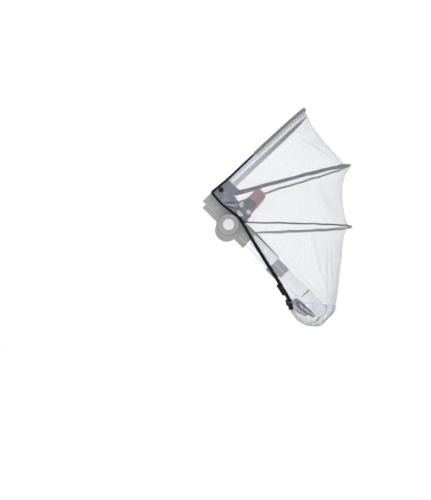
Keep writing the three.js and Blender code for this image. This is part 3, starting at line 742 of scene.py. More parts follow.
def crumple(side, down):
    """Loose waves that cross each other, strongest half way down the pocket and flat at its ends."""
    strength = np.sin(math.pi * np.clip(down, 0, 1)) ** 0.6 * smooth(1 - np.abs(side), 0.06, 0.2)
    wave = np.sin(17 * side + 2.3 * np.sin(5 * down + 2 * side))
    fine = 0.5 * np.sin(43 * side + 3 * np.sin(9 * down + side)) * np.cos(13 * down + 5 * side)
    return 2.6 * strength * (wave + 0.6 * np.sin(9 * down - 7 * side) + 0.6 * fine)


def crease_density(creases, side, down):
    """The net lies double along the top of a crease: a bell a third as wide as the crease itself."""
    thin = [dict(crease, wide=crease["wide"] * 0.34, high=abs(crease["high"]) * 0.12) for crease in creases]
    return fold_height(thin, side, down)


print("creases", len(TOP_FOLDS) + len(MIDDLE_FOLDS) + len(LOWER_FOLDS))

# %% [markdown]
# A panel's edge has to lie along the hoop's casing, on its inner side, so the rows are first
# lofted and then eased onto that edge. The height of the creases moves each point along the
# surface's own normal.

# %% How a net panel is made
DOWN = 110
CLEARANCE = 1.0


def arm_columns(square, count):
    """Places across an arch, evenly spaced as seen from its middle: with polar angle t the point lies
    r cos t along, r = (cos^n + sin^n)^(-1/n), so its own angle is acos of (r cos t)^(n/2)."""
    t = np.linspace(0, math.pi / 2, count)[1:-1]
    r = (np.cos(t) ** square + np.sin(t) ** square) ** (-1 / square)
    return np.arccos((r * np.cos(t)) ** (square / 2)) / (math.pi / 2)


HALF_COLUMNS = np.sort(np.concatenate([arm_columns(2.6, 90), arm_columns(5.2, 90), [1.0]]))
COLUMN_PLACES = np.concatenate([-HALF_COLUMNS[::-1], [0.0], HALF_COLUMNS])
print("columns across the net", len(COLUMN_PLACES))


def hoop_edge(hoop, sizes, side, above, inward):
    """Line where a panel meets a casing: square to the hoop by its half height, inwards by its depth.
    inward is 1 at the inner side of the casing, more further in, and -0.9 close to its outer side."""
    middle, normal, outward = arch_frame(hoop, side)
    tall = casing_at(sizes, "tall", side) + CLEARANCE
    inset = inward * np.maximum(casing_at(sizes, "deep", side) - CASING_LAP, 0)
    lift = -tall if above else tall
    return middle + normal * lift[..., None] - outward * inset[..., None]


def panel(rows, height, upper_edge=None, lower_edge=None, drop=None):
    """Points through the rows; near each hoop the difference to its edge is added, fading as a fifth power.
    drop says how much of the lower hoop's drop the left arms take at each place down the panel."""
    side, v = np.meshgrid(COLUMN_PLACES, np.linspace(0, 1, DOWN + 1))
    last = len(rows["half"]) - 1
    shape = through_rows(rows, v * last)
    if drop:
        shape["drop"] = LOWER_HOOP["drop"] * drop(v)
    points = arch_points(shape, side)
    line = side[0]
    for edge, row, near in ((upper_edge, 0, 1 - v), (lower_edge, -1, v)):
        if edge is not None:
            points = points + (edge(line) - points[row])[None] * (near**5)[..., None]
    east = np.gradient(points, axis=1)
    south = np.gradient(points, axis=0)
    return points + unit(np.cross(south, east)) * height(side, v)[..., None]


def from_edge(run):
    """The shorter way from each point of a row to one of its two ends."""
    return np.minimum(run, run[:, -1:] - run)


def on_upper(above, inward):
    """The upper hoop's edge, for a panel above it or below it."""
    return lambda side: hoop_edge(UPPER_HOOP, UPPER_CASING, side, above, inward)


def on_lower(above, inward):
    """The lower hoop's edge, for a panel above it or below it."""
    return lambda side: hoop_edge(LOWER_HOOP, LOWER_CASING, side, above, inward)


def keep(mesh, label, values):
    """Keeps a value at each point of a mesh: how dense the net looks, or how light the cloth is, with painted
    shade and highlight in it.
    """
    layer = mesh.attributes.new(label, "FLOAT", "POINT")
    layer.data.foreach_set("value", values.astype(np.float32).ravel())


def add_net(name, points, dense, material):
    mesh = grid_mesh(points)
    keep(mesh, "dense", dense)
    piece = add_piece(name + "_cloth", mesh, material, "net", name)


def sheet_area(points):
    """Area in square metres, from the sides of the grid's cells."""
    a, b = points[1:, :-1] - points[:-1, :-1], points[:-1, 1:] - points[:-1, :-1]
    return float(np.linalg.norm(np.cross(a, b), axis=2).sum()) * MM * MM


def folded(creases):
    """The height of a panel's creases, as a function of the place on it."""
    return lambda side, down: fold_height(creases, side, down)


print("a panel has", (DOWN + 1) * len(COLUMN_PLACES), "points")

# %% [markdown]
# The middle and the lower panel follow the lower hoop where its left arm hangs lower: the middle
# one more and more on its way down, the lower one less and less.

# %% The four panels
top = panel(TOP_ROWS, folded(TOP_FOLDS), None, on_upper(True, 1))
middle_edges = on_upper(False, -0.9), on_lower(True, 2.4)
middle = panel(MIDDLE_ROWS, folded(MIDDLE_FOLDS), *middle_edges, lambda down: down**2)
lower = panel(LOWER_ROWS, folded(LOWER_FOLDS), on_lower(False, 2.4), None, lambda down: (1 - down) ** 2)
pocket = panel(POCKET_ROWS, crumple)
for label, points in (("top", top), ("middle", middle), ("lower", lower), ("pocket", pocket)):
    print(label, "area", round(sheet_area(points), 4), "m2")

# %% [markdown]
# The net looks denser where it is seen along its surface or lies double: at its front, on its
# creases, towards the foot and the elastic, and on a seam of the right side beside the tube.

# %% Density, and the panels in place
SEAM_OFF_TUBE = 49
RIGHT_SIDE = -190
side_grid, down_grid = np.meshgrid(COLUMN_PLACES, np.linspace(0, 1, DOWN + 1))
front = 0.16 * bell(side_grid, 0.3) + 0.2 * bell(side_grid, 0.07)
top_dense = front + crease_density(TOP_FOLDS, side_grid, down_grid)
middle_dense = front + crease_density(MIDDLE_FOLDS, side_grid, down_grid)
lower_dense = front + crease_density(LOWER_FOLDS, side_grid, down_grid)
lower_dense += 0.1 * smooth(down_grid, 0.6, 1)
lower_dense += 0.13 * bell(side_grid, 0.36) * smooth(down_grid, 0.05, 0.3)
lower_dense += 0.2 * np.exp(-from_edge(run_along(lower, 1)) / 8)
seam = bell(lower @ OFF_TUBE - SEAM_OFF_TUBE, 1.8) * smooth(lower @ DOWN_TUBE, 60, 90)
lower_dense += 0.26 * seam * (lower[..., 1] < RIGHT_SIDE)
add_net("net_top", top, top_dense, NET)
add_net("net_middle", middle, middle_dense, NET)
add_net("net_lower", lower, lower_dense, NET)
print("the lower panel is", round(float(lower_dense.max()), 2), "dense at most")

# %% [markdown]
# A dark cuff is bunched up below the foot of the frame. Where it lies, the pocket's net is
# pulled tight and thin, so its place is needed before the pocket is made.

# %% Where the dark cuff lies
CUFF_UPPER = [(211, -240), (222, -238), (238, -250), (260, -271), (284, -296)]
CUFF_LOWER = [(214, -254), (222, -264), (234, -276), (252, -289), (276, -301)]
CUFF_OUT = 208.8
CUFF_HALF = 11


def between_lines(first, second, columns, rows):
    """Points on straight lines from one polyline to another, at equal shares of their length."""
    share = np.linspace(0, 1, columns + 1)
    lines = []
    for corners in (first, second):
        run = run_along(np.array(corners, float))
        lines.append(at_places(share, run / run[-1], corners))
    f = np.linspace(0, 1, rows + 1)[:, None, None]
    return lines[0][None] * (1 - f) + lines[1][None] * f


def over_cuff(points):
    """1 over the middle line of the cuff, falling off as a bell, on the sides of the net only."""
    middle = between_lines(CUFF_UPPER, CUFF_LOWER, 30, 2)[1]
    off = np.linalg.norm(points[..., None, [0, 2]] - middle, axis=-1).min(axis=-1)
    return bell(off, CUFF_HALF) * smooth(np.abs(points[..., 1]), 180, 200)


print("cuff runs from", CUFF_UPPER[0], "to", CUFF_UPPER[-1])

# %% [markdown]
# The pocket under the foot is the same net, but crumpled and sewn double along its edges, so it
# hides more there and catches the light.

# %% Foot pocket
pocket_run = run_along(pocket, 1)
bunched = np.sin(pocket_run / 7 + 6 * down_grid) * np.sin(9 * down_grid + pocket_run / 19)
pocket_dense = 0.04 + 0.34 * np.clip(bunched, 0, 1) + 0.1 * bell(side_grid, 0.1)
pocket_dense += 0.24 * smooth(down_grid, 0.3, 0.9) + 0.3 * smooth(0.06 - down_grid, 0, 0.06)
pocket_dense += 0.22 * np.exp(-from_edge(pocket_run) / 9)
pocket_dense -= 0.42 * over_cuff(pocket)
add_net("net_pocket", pocket, pocket_dense, NET_GATHERED)
print("pocket is", round(float(pocket_dense.max()), 2), "dense at most")

# %% [markdown]
# The casings are swept along their arches. Their section is a flat oval,
# and the tape waves a little between its stitches.

# %% Hoop casings
SECTION_STEPS = 20


def section(points_round=SECTION_STEPS, square=3.0):
    """Superellipse section: cosine and sine with their powers of 2/square, as unit half width and height."""
    angle = np.linspace(0, 2 * math.pi, points_round, endpoint=False)
    w = np.sign(np.cos(angle)) * np.abs(np.cos(angle)) ** (2 / square)
    t = np.sign(np.sin(angle)) * np.abs(np.sin(angle)) ** (2 / square)
    return w, t


def strip(middle, wide_way, thick_way, half_wide, half_thick, square=3.0, points_round=SECTION_STEPS):
    """A section carried along a line: half_wide along wide_way and half_thick along thick_way."""
    w, t = section(points_round, square)
    grid = (
        middle[:, None]
        + wide_way[:, None] * (half_wide[:, None] * w[None])[..., None]
        + thick_way[:, None] * (half_thick[:, None] * t[None])[..., None]
    )
    mesh = grid_mesh(grid, round_section=True, capped=True)
    face_out(mesh)
    return mesh


def casing_mesh(hoop, sizes, steps=240):
    """The tape's section along the hoop, with slow waves in its height that fade at both ends."""
    side = np.linspace(-1, 1, steps + 1)
    middle, normal, outward = arch_frame(hoop, side)
    tall = casing_at(sizes, "tall", side)
    deep = casing_at(sizes, "deep", side)
    wave = 0.5 * np.sin(31 * side) + 0.35 * np.sin(53 * side + 1)
    tall = tall * (1 + 0.05 * np.sin(23 * side + 2))
    ends = smooth(1 - np.abs(side), 0, 0.05)
    return strip(middle + normal * (wave * ends)[:, None], normal, outward, tall, deep)


for node, hoop, sizes in (("hoop_upper", UPPER_HOOP, UPPER_CASING), ("hoop_lower", LOWER_HOOP, LOWER_CASING)):
    add_piece(node + "_tape", casing_mesh(hoop, sizes), GREY_TAPE, "grey_tape", node)

# %% [markdown]
# The hem is a flat tape that lies on the pocket. Its path is given as places on the
# pocket, across and down, so it keeps to the cloth wherever that goes.

# %% Pocket hem
HEM_PATH = [
    (0.9999999, 0.01), (0.9999999, 0.22), (0.9999999, 0.42), (0.999999, 0.56), (0.9995, 0.66),
    (0.97, 0.69), (0.8, 0.69), (0.6, 0.66), (0.47, 0.56), (0.44, 0.4), (0.43, 0.22), (0.43, 0.03),
]
HEM_HALF = 4.2
HEM_OUT = 0.9
POCKET_MIDDLE = np.array([280.0, 0.0, -285.0])
TURN_OUT = np.array([0.9, 1.6, 0.9])


def on_pocket(place):
    """Points of the pocket at places across and down, without its crumples."""
    rows = through_rows(POCKET_ROWS, place[:, 1] * (len(POCKET_ROWS["half"]) - 1))
    return arch_points(rows, place[:, 0])


def pocket_tape(path, hand, half_wide, out):
    """A tape along a path: its width lies in the cloth, square to the path. The way out of the cloth
    is taken from the pocket's middle, turned towards the side, and made square to the path."""
    fine = np.linspace(0, len(path) - 1, 181)
    places = at_places(fine, np.arange(len(path)), path)
    places[:, 0] *= hand
    line = on_pocket(places)
    for _ in range(14):
        line[1:-1] = (line[:-2] + 2 * line[1:-1] + line[2:]) / 4
    outward = unit(unit(line - POCKET_MIDDLE) * TURN_OUT)
    along = unit(np.gradient(line, axis=0))
    outward = unit(outward - along * np.sum(outward * along, axis=1, keepdims=True))
    across = np.cross(along, outward)
    ends = smooth(np.minimum(fine, fine[-1] - fine), 0, 0.4)
    ripple = 0.5 * np.sin(fine * 7) * ends
    middle = line + outward * out + across * ripple[:, None]
    wide = half_wide * (0.5 + 0.5 * ends)
    return strip(middle, across, outward, wide, np.full(len(fine), 0.7), square=3.5)


for side_name, hand in SIDES.items():
    hem = pocket_tape(HEM_PATH, hand, HEM_HALF, HEM_OUT)
    piece = add_piece(f"pocket_hem_{side_name}", hem, HEM_TAPE, "grey_tape")

# %% [markdown]
# The cuff is a short band of dark cloth between the foot of the frame and the pocket. It is
# made between its upper and its lower line, and pushed in and out by crossing waves,
# as cloth that is bunched by an elastic. Its tone has painted highlight where the bunches stand out and
# painted shade where they sink in, and a painted highlight runs along it as a lighter fold.

# %% Dark cuff


def side_sheet(flat_points, out, hand):
    """Puts points of the side plane at a distance out from the middle, with their faces outwards."""
    mesh = grid_mesh(np.stack([flat_points[..., 0], hand * out, flat_points[..., 1]], axis=2))
    if mesh.polygons[0].normal.y * hand < 0:
        mesh.flip_normals()
    return mesh


cuff_places = between_lines(CUFF_UPPER, CUFF_LOWER, 90, 24)
along, down = np.meshgrid(np.linspace(0, 1, 91), np.linspace(0, 1, 25))
bunch = np.sin(31 * along + 4 * down) * np.sin(7 * down + 9 * along) + 0.5 * np.sin(59 * along - 6 * down)
# A band of painted highlight, as a lighter fold along the cuff.
painted_highlight_fold = bell(down - 0.62 + 0.2 * along, 0.16) * smooth(along, 0.15, 0.35)
for side_name, hand in SIDES.items():
    mesh = side_sheet(cuff_places, CUFF_OUT + 0.9 * bunch, hand)
    # Painted light: the tone rises as the bunches stand out and falls as they sink in, and the highlight band
    # lifts it further.
    keep(mesh, "tone", np.clip(0.14 + 0.16 * bunch + 0.75 * painted_highlight_fold, 0, 1))
    piece = add_piece(f"foot_cuff_{side_name}", mesh, CUFF_CLOTH, "dark_trim")
    piece.modifiers.new("thickness", "SOLIDIFY").thickness = 0.6 * MM
print("each cuff has", cuff_places[..., 0].size, "points")

# %% [markdown]
# The hood bow is the arch that the net's upper edge is buttoned over: a light band and its front
# edge, with a grey lining on the inner side that painted shade makes darkest in the middle of the arch.
# A dark piping lies over the top edge of the net.

# %% Hood bow, its edge and the piping


def bow_strip(shape, low, high, thick, reach=1.0, out=0.0, steps=180):
    """A flat band along an arch, from low to high square to its plane."""
    side = np.linspace(-reach, reach, steps + 1)
    middle, normal, outward = arch_frame(shape, side)
    middle = middle + normal * (low + high) / 2 + outward * out
    ones = np.ones_like(side)
    return strip(middle, normal, outward, ones * (high - low) / 2, ones * thick / 2, square=4.0)


PIPING_OUT = 4.55
top_edge = {key: column[0] for key, column in TOP_ROWS.items()}
add_piece("bow_band", bow_strip(BOW, -12, 2.6, 3), LIGHT_BAND, "light_band", "hood_bow")
add_piece("bow_front", bow_strip(BOW, 3, 12.5, 3), LIGHT_BAND, "light_band", "bow_edge")
lining = bow_strip(BOW, -11.5, 12.5, 0.5, 0.995, -1.95)
corners = np.zeros(len(lining.vertices) * 3, np.float32)
lining.vertices.foreach_get("co", corners)
height = corners.reshape(-1, 3)[:, 2] / MM
# Painted shade: the lining's tone falls from light grey low on the bow to almost black at the top of the
# arch.
keep(lining, "tone", np.clip(0.88 - 0.8 * smooth(height, 170, 395), 0, 1))
lining_piece = add_piece("bow_lining", lining, BOW_LINING, "dark_trim")
piping = bow_strip(top_edge, -2, 8, 5, 0.84, PIPING_OUT)
add_piece("bow_piping", piping, DARK_TRIM, "dark_trim", "hood_trim")
print("the lining rises from", round(float(height.min())), "to", round(float(height.max())), "mm")

# %% [markdown]
# The elastic binding draws the net's rear edge tight. It follows the hood bow down to the corner,
# turns there, and runs along the side frame to its clip. Its line is a smooth curve
# through a short list of places on the right side, and the left one is its mirror image.

# %% Elastic binding
# Each row is x, z, the distance out from the middle, the width, and the lift of the left one.
BINDING_LINE = np.array([
    (84.5, 231, 211.4, 4, 0),
    (76, 223, 212.2, 6, 0),
    (36, 185, 213.9, 7, 0),
    (0, 151, 215.8, 7, 0),
    (-30, 126, 216.2, 7, 0),
    (-49, 110, 216.2, 7, 0),
    (-53.5, 104, 216.2, 7, 0),
    (-49, 98, 216.2, 7, 0),
    (-26.5, 72, 216.2, 7, 0),
    (-22, 67.3, 216.2, 7, 0),
    (-16.5, 62.7, 216.2, 7, 0),
    (8, 44, 216.2, 7.5, 0),
    (28.5, 28.4, 216.2, 7.5, 0),
    (34, 23.2, 216, 8, 0),
    (38, 17, 215.6, 8, 0),
    (54, -8, 214.2, 9, 0),
    (88, -66, 214.2, 10.5, 12),
    (119, -116, 214.2, 11, 19),
    (169, -195, 214.2, 11, 19),
    (201, -250, 214.2, 11, 19),
], float)


def spline(points, steps):
    """Centripetal curve through points: knots are spaced by the square root of their distances."""
    points = np.asarray(points, float)
    ends = 2 * points[[0, -1]] - points[[1, -2]]
    p = np.concatenate([ends[:1], points, ends[1:]])
    knots = np.concatenate([[0], np.cumsum(np.linalg.norm(np.diff(p[:, :3], axis=0), axis=1) ** 0.5)])
    t = np.linspace(knots[1], knots[-2], steps + 1)
    i = np.clip(np.searchsorted(knots, t, side="right") - 1, 1, len(points) - 1)
    k = [knots[i + j] for j in (-1, 0, 1, 2)]
    q = [p[i + j] for j in (-1, 0, 1, 2)]

    def between(a, b, low, high):
        f = ((t - low) / (high - low))[:, None]
        return a * (1 - f) + b * f

    first = [between(q[j], q[j + 1], k[j], k[j + 1]) for j in range(3)]
    second = [between(first[j], first[j + 1], k[j], k[j + 2]) for j in range(2)]
    return between(second[0], second[1], k[1], k[2])


def mirrored(points):
    """The same points on the other side of the stroller."""
    return points * np.array([1, -1, 1])


def binding_mesh(left):
    """A thin strip along the line. The left one moves forward by its lift and is then mirrored."""
    x, z, out, wide, lift = BINDING_LINE.T
    places = np.stack([x, -out, z], 1) + (lift * left)[:, None] * OFF_TUBE
    line = spline(np.concatenate([places, wide[:, None]], axis=1), 420)
    middle, wide = line[:, :3], line[:, 3]
    outward = np.broadcast_to(np.array([0.0, -1.0, 0.0]), middle.shape)
    across = unit(np.cross(outward, np.gradient(middle, axis=0)))
    length = run_along(middle)
    ripple = 0.35 * np.sin(length / 5.5) + 0.25 * np.sin(length / 3.1 + 1)
    if left:
        middle, across, outward = mirrored(middle), mirrored(across), mirrored(outward)
    return strip(middle, across, outward, (wide + ripple) / 2, np.full(len(middle), 1.3), square=3.5)


for side_name, hand in SIDES.items():
    elastic = binding_mesh(hand > 0)
    add_piece(f"elastic_{side_name}", elastic, BLACK_ELASTIC, "black_elastic", f"binding_{side_name}")

# %% [markdown]
# The patch is the corner of the net's cloth, folded under itself in its lower half. It is made
# between its rear edge and its front edge, station by station, and its folds are soft
# ridges whose tone is painted light: painted shade in their troughs, painted highlight on their ridges.

# %% Corner patch
PATCH_STATIONS = [
    (-55, 105, -4, 147.5), (-50, 99.5, 19, 127), (-43, 92, 36, 112.5), (-32, 79.5, 16.5, 92.7),
    (-22, 68.5, 36.7, 72.7), (-7, 57.3, 27.3, 56), (8, 45, 26, 43), (26.4, 31.6, 27.5, 31),
]
PATCH_MIDDLE = 213.4
PATCH_TONE = 0.46
PATCH_FOLDS = folds(
    (0.16, 0.62, 0.95, 0.66, 0.4, 0.035),
    (0.2, 0.56, 0.8, 0.58, -0.35, 0.03),
    (0.1, 0.69, 0.9, 0.75, -0.3, 0.03),
    (0.3, 0.74, 0.8, 0.86, 0.25, 0.03),
    (0.1, 0.45, 0.6, 0.47, 0.18, 0.06),
    (0.35, 0.12, 0.5, 0.4, 0.12, 0.09),
)


def patch_grid():
    """Straight lines from rear to front edge; stations are joined by straight steps down."""
    stations = np.array(PATCH_STATIONS, float)
    fine = np.linspace(0, len(stations) - 1, 113)
    rear_x, rear_z, front_x, front_z = at_places(fine, np.arange(len(stations)), stations).T
    share = np.linspace(0, 1, 61)[None]
    x = rear_x[:, None] * (1 - share) + front_x[:, None] * share
    z = rear_z[:, None] * (1 - share) + front_z[:, None] * share
    return np.stack([x, z], axis=2), np.broadcast_to(share, x.shape), fine[:, None] / fine[-1] + 0 * share


flat_patch, patch_across, patch_down = patch_grid()
relief = fold_height(PATCH_FOLDS, patch_across, patch_down)
edge = np.minimum(patch_across, 1 - patch_across)
# The tone rises on the ridges of the relief as painted highlight and falls in its troughs as painted shade,
# and is a little darker along the rear and front edges.
patch_painted_light_tone = np.clip(PATCH_TONE + 1.5 * relief - 0.12 * smooth(0.05 - edge, 0, 0.05), 0.06, 1)
for side_name, hand in SIDES.items():
    mesh = side_sheet(flat_patch, PATCH_MIDDLE + relief, hand)
    keep(mesh, "tone", patch_painted_light_tone)
    piece = add_piece(f"patch_cloth_{side_name}", mesh, PATCH_CLOTH, "patch_cloth", f"patch_{side_name}")
    piece.modifiers.new("thickness", "SOLIDIFY").thickness = 1.2 * MM
print("patch relief", round(float(np.ptp(relief)), 2), "mm")

# %% [markdown]
# The hard pieces of the side frame already have the right shape, but their edges are as sharp as
# a knife, and no moulded or drawn piece is. So each is copied, its triangles are merged
# to whole faces, and a narrow bevel on every sharp edge lets it catch the light.

# %% Rounded edges of the hard pieces
FRAME_FINISHES = {
    "hub_cap": (WHITE_PLASTIC, "white_plastic", 0.9),
    "hub": (GREY_PLASTIC, "grey_plastic", 1.0),
    "tube_block": (BLOCK_PLASTIC, "grey_plastic", 1.0),
    "tube": (ALUMINIUM, "aluminium", 2.2),
    "adaptor": (DARK_PLASTIC, "grey_plastic", 1.6),
    "bar_end": (DARK_PLASTIC, "grey_plastic", 1.6),
    "foot_loop": (ALUMINIUM, "aluminium", 2.2),
    "bumper_bar": (LEATHER, "leather", 3.0),
    "slider": (BLACK_PLASTIC, "black_plastic", 0.9),
    "clip": (BLACK_PLASTIC, "black_plastic", 0.9),
}
SHARP = math.radians(28)


def rounded_copy(node, material, slot_name, width):
    """Corners that share a place are merged, flat neighbours are joined, and sharp edges get the bevel."""
    source = bmesh.new()
    source.from_mesh(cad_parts[node].data)
    bmesh.ops.remove_doubles(source, verts=source.verts, dist=1e-5)
    bmesh.ops.dissolve_limit(source, angle_limit=0.01, verts=source.verts, edges=source.edges)
    mesh = bpy.data.meshes.new(node + "_rounded")
    source.to_mesh(mesh)
    source.free()
    mesh.polygons.foreach_set("use_smooth", np.ones(len(mesh.polygons), bool))
    piece = add_piece(node + "_rounded", mesh, material, slot_name, node)
    bevel = piece.modifiers.new("edges", "BEVEL")
    bevel.width = width * MM
    bevel.segments = 3
    bevel.angle_limit = SHARP
    bevel.harden_normals = True


def finish_solid(node):
    """Finds a solid's finish by the start of its name."""
    for start, (material, slot_name, width) in FRAME_FINISHES.items():
        if node.startswith(start):
            rounded_copy(node, material, slot_name, width)
            return slot_name
    return None


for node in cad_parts:
    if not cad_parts[node].hide_render:
        print(node, finish_solid(node))

# %% [markdown]
# Small parts are plates that lie on a face of the side frame: an outline in the side plane, thickened
# outwards, whose outer edge is drawn in a little so that it is not sharp.

# %% Small parts of the side frame
# Distances out from the middle of the stroller: on the adaptor, on the tube, and on the net.
ADAPTOR_FACE = 205.2
TUBE_FACE = 206.1
NET_FACE = 208.6
PAD = (PAD_PLASTIC, "white_plastic")
WHITE = (WHITE_PLASTIC, "white_plastic")
BLACK = (BLACK_PLASTIC, "black_plastic")
DARK_LINE_OUTLINE = [(40, 38), (190, 39), (190, 41.5), (150, 44), (100, 45.5), (52, 45.5), (40, 44)]
# Outline of a thin black wedge that is painted shadow in the gap between the lower tube and the foot loop.
FOOT_GAP_SHADOW = [(333.9, 1), (334.3, 1), (337.2, 36.8), (333.2, 36.8)]


def on_frame(u, d):
    """A place u down the tube and d off it, as x and z."""
    return (u * DOWN_TUBE + d * OFF_TUBE)[[0, 2]]


def plate(name, outline, inner, thick, hand, material, slot_name, edge=0.3):
    """Rings at the inner face, below the edge and at the outer face; the last is drawn in by edge."""
    outline = np.array(outline, float)
    outer = inner + thick
    centre = outline.mean(axis=0)
    reach = np.linalg.norm(outline - centre, axis=1, keepdims=True)
    drawn = centre + (outline - centre) * (1 - edge / np.maximum(reach, 2 * edge))
    rings = [(outline, inner), (outline, outer - edge), (drawn, outer)]
    grid = [np.stack([ring[:, 0], np.full(len(ring), hand * y), ring[:, 1]], 1) for ring, y in rings]
    mesh = grid_mesh(np.stack(grid), round_section=True, capped=True)
    mesh.polygons.foreach_set("use_smooth", np.zeros(len(mesh.polygons), bool))
    face_out(mesh)
    add_piece(name, mesh, material, slot_name)


def block_outline(u, d, long, wide):
    """Four corners round a place, with the sides down the tube and off it."""
    return [on_frame(u + a * long / 2, d + b * wide / 2) for a, b in CORNERS]


def arc_outline(u, d, radius, start, end, steps=20):
    """Part of a circle round a place, closed by a straight line; degrees from down the tube."""
    turn = np.radians(np.linspace(start, end, steps))
    return [on_frame(u + radius * math.cos(a), d + radius * math.sin(a)) for a in turn]


def side_frame_plates():
    """Name, outline, inner face, thickness, finish and width of the drawn-in edge of every plate."""
    for number, u in enumerate((-16.4, 16.4), 1):
        yield f"joint_pad_{number}", block_outline(u, 75.8, 14, 14), ADAPTOR_FACE, 1, PAD, 0.3
        yield f"joint_pad_foot_{number}", block_outline(u, 79.4, 12, 6), 200.2, 4.9, PAD, 0.3
    yield "joint_line", block_outline(0, 75, 18, 1.2), ADAPTOR_FACE, 0.6, PAD, 0.3
    yield "release_button", arc_outline(-0.5, 57, 13, 180, 360), ADAPTOR_FACE, 1.4, WHITE, 0.6
    for number, u in enumerate((-65.2, 59), 1):
        yield f"screw_{number}", arc_outline(u, 12.4, 2, 0, 342), TUBE_FACE, 0.6, WHITE, 0.3
    # A black wedge as painted shadow in the gap at the foot loop.
    yield "foot_gap_shadow", [on_frame(*place) for place in FOOT_GAP_SHADOW], TUBE_FACE, 0.4, BLACK, 0.05
    tape = (DARK_LINE_CLOTH, "grey_tape")
    # A dark strip that lies on the net just above the upper edge of the tube.
    yield "dark_line_strip", [on_frame(*place) for place in DARK_LINE_OUTLINE], NET_FACE, 0.8, tape, 0.3
    metal = (ALUMINIUM, "aluminium")
    yield "block_line", block_outline(217.5, 17.5, 46, 1.6), TUBE_FACE, 0.4, metal, 0.3


for side_name, hand in SIDES.items():
    for part, outline, inner, thick, finish, edge in side_frame_plates():
        plate(f"{part}_{side_name}", outline, inner, thick, hand, *finish, edge)
print("small parts on each side", len(list(side_frame_plates())))

# %% [markdown]
# The snap is a turned shape: a profile of radius and height is carried round its axis. Its rim
# stands up round a shallow dish, and a small lug stands in the dish.

# %% Snaps
SNAP_PLACE = (-24, 113)
SNAP_PROFILE = [
    (0.05, 216.6), (2.4, 216.7), (3.4, 216.1), (4.6, 216.2), (5.6, 217.2), (6.4, 217.9), (7.2, 217.8),
    (7.9, 216.9), (8, 215.6), (7.8, 214.7), (0.05, 214.65),
]


def turned(centre, profile, hand, steps=40):
    """Points at radius r and distance out, for all turns about the centre: x + r cos, z + r sin."""
    angle = np.linspace(0, 2 * math.pi, steps, endpoint=False)
    r, out = np.array(profile, float).T
    x = centre[0] + r[:, None] * np.cos(angle)
    z = centre[1] + r[:, None] * np.sin(angle)
    grid = np.stack([x, np.broadcast_to(hand * out[:, None], x.shape), z], axis=2)
    mesh = grid_mesh(grid, round_section=True, capped=True)
    face_out(mesh)
    return mesh


for side_name, hand in SIDES.items():
    mesh = turned(SNAP_PLACE, SNAP_PROFILE, hand)
    add_piece(f"snap_turned_{side_name}", mesh, *BLACK, f"snap_{side_name}")
print("a snap has", len(mesh.polygons), "faces")

# %% [markdown]
# Thread holds the tapes and the patch. A row of stitches is one mesh: the same small capsule is put
# down at equal steps along a line, so only its places and directions change.

# %% Stitches
THREAD_LIGHT = cloth_material("thread_light", (0.5, 0.51, 0.54), (0.62, 0.63, 0.66), 0.0003)
THREAD_GREY = cloth_material("thread_grey", (0.2, 0.2, 0.23), (0.3, 0.3, 0.34), 0.0003)
STITCH_STEP, STITCH_LONG, STITCH_THICK = 5.0, 3.2, 0.55
STITCH_STATIONS = STITCH_LONG / 2 * np.array([-1, -0.7, 0, 0.7, 1])
STITCH_SIZES = STITCH_THICK / 2 * np.array([0.3, 0.9, 1, 0.9, 0.3])


def stitch_row(name, line, outward, material, slot_name):
    """Equal steps along the line; each stitch has five rings of six points, thinner at its ends."""
    run = run_along(line)
    at = np.arange(STITCH_STEP, run[-1] - STITCH_STEP, STITCH_STEP)
    place = at_places(at, run, line)
    ahead = unit(at_places(at + 1, run, line) - place)
    up = unit(at_places(at, run, np.broadcast_to(outward, line.shape)))
    beside = np.cross(ahead, up)
    turn = np.linspace(0, 2 * math.pi, 6, endpoint=False)
    radius = STITCH_SIZES[None, :, None, None]
    centre = place[:, None, None] + ahead[:, None, None] * STITCH_STATIONS[None, :, None, None]
    round_it = np.cos(turn)[:, None] * up[:, None, None] + np.sin(turn)[:, None] * beside[:, None, None]
    points = (centre + radius * round_it).reshape(-1, 3)
    first = np.arange(len(at))[:, None, None] * 30 + np.arange(4)[None, :, None] * 6
    i, j = np.arange(6), (np.arange(6) + 1) % 6
    quads = np.stack([first + i, first + j, first + 6 + j, first + 6 + i], axis=3).reshape(-1, 4)
    base = np.arange(len(at))[:, None] * 30
    faces = quads.tolist() + (base + i[::-1]).tolist() + (base + 24 + i).tolist()
    mesh = bpy.data.meshes.new(name)
    mesh.from_pydata(((points + MIDDLE) * MM).tolist(), [], faces)
    mesh.uv_layers.new(name="UVMap")
    mesh.polygons.foreach_set("use_smooth", np.ones(len(faces), bool))
    face_out(mesh)
    add_piece(name, mesh, material, slot_name)


def hoop_stitches(name, hoop, sizes, edge):
    """Along the upper (1) or lower (-1) edge of a casing, 1.3 mm from it, on the outer face of its
    superellipse section."""
    side = np.linspace(-0.96, 0.96, 400)
    middle, normal, outward = arch_frame(hoop, side)
    tall, deep = casing_at(sizes, "tall", side), casing_at(sizes, "deep", side)
    share = (tall - 1.3) / tall
    line = middle + normal * (edge * share * tall)[:, None]
    line = line + outward * (deep * (1 - share**3) ** (1 / 3) + 0.1)[:, None]
    stitch_row(name, line, outward, THREAD_LIGHT, "grey_tape")


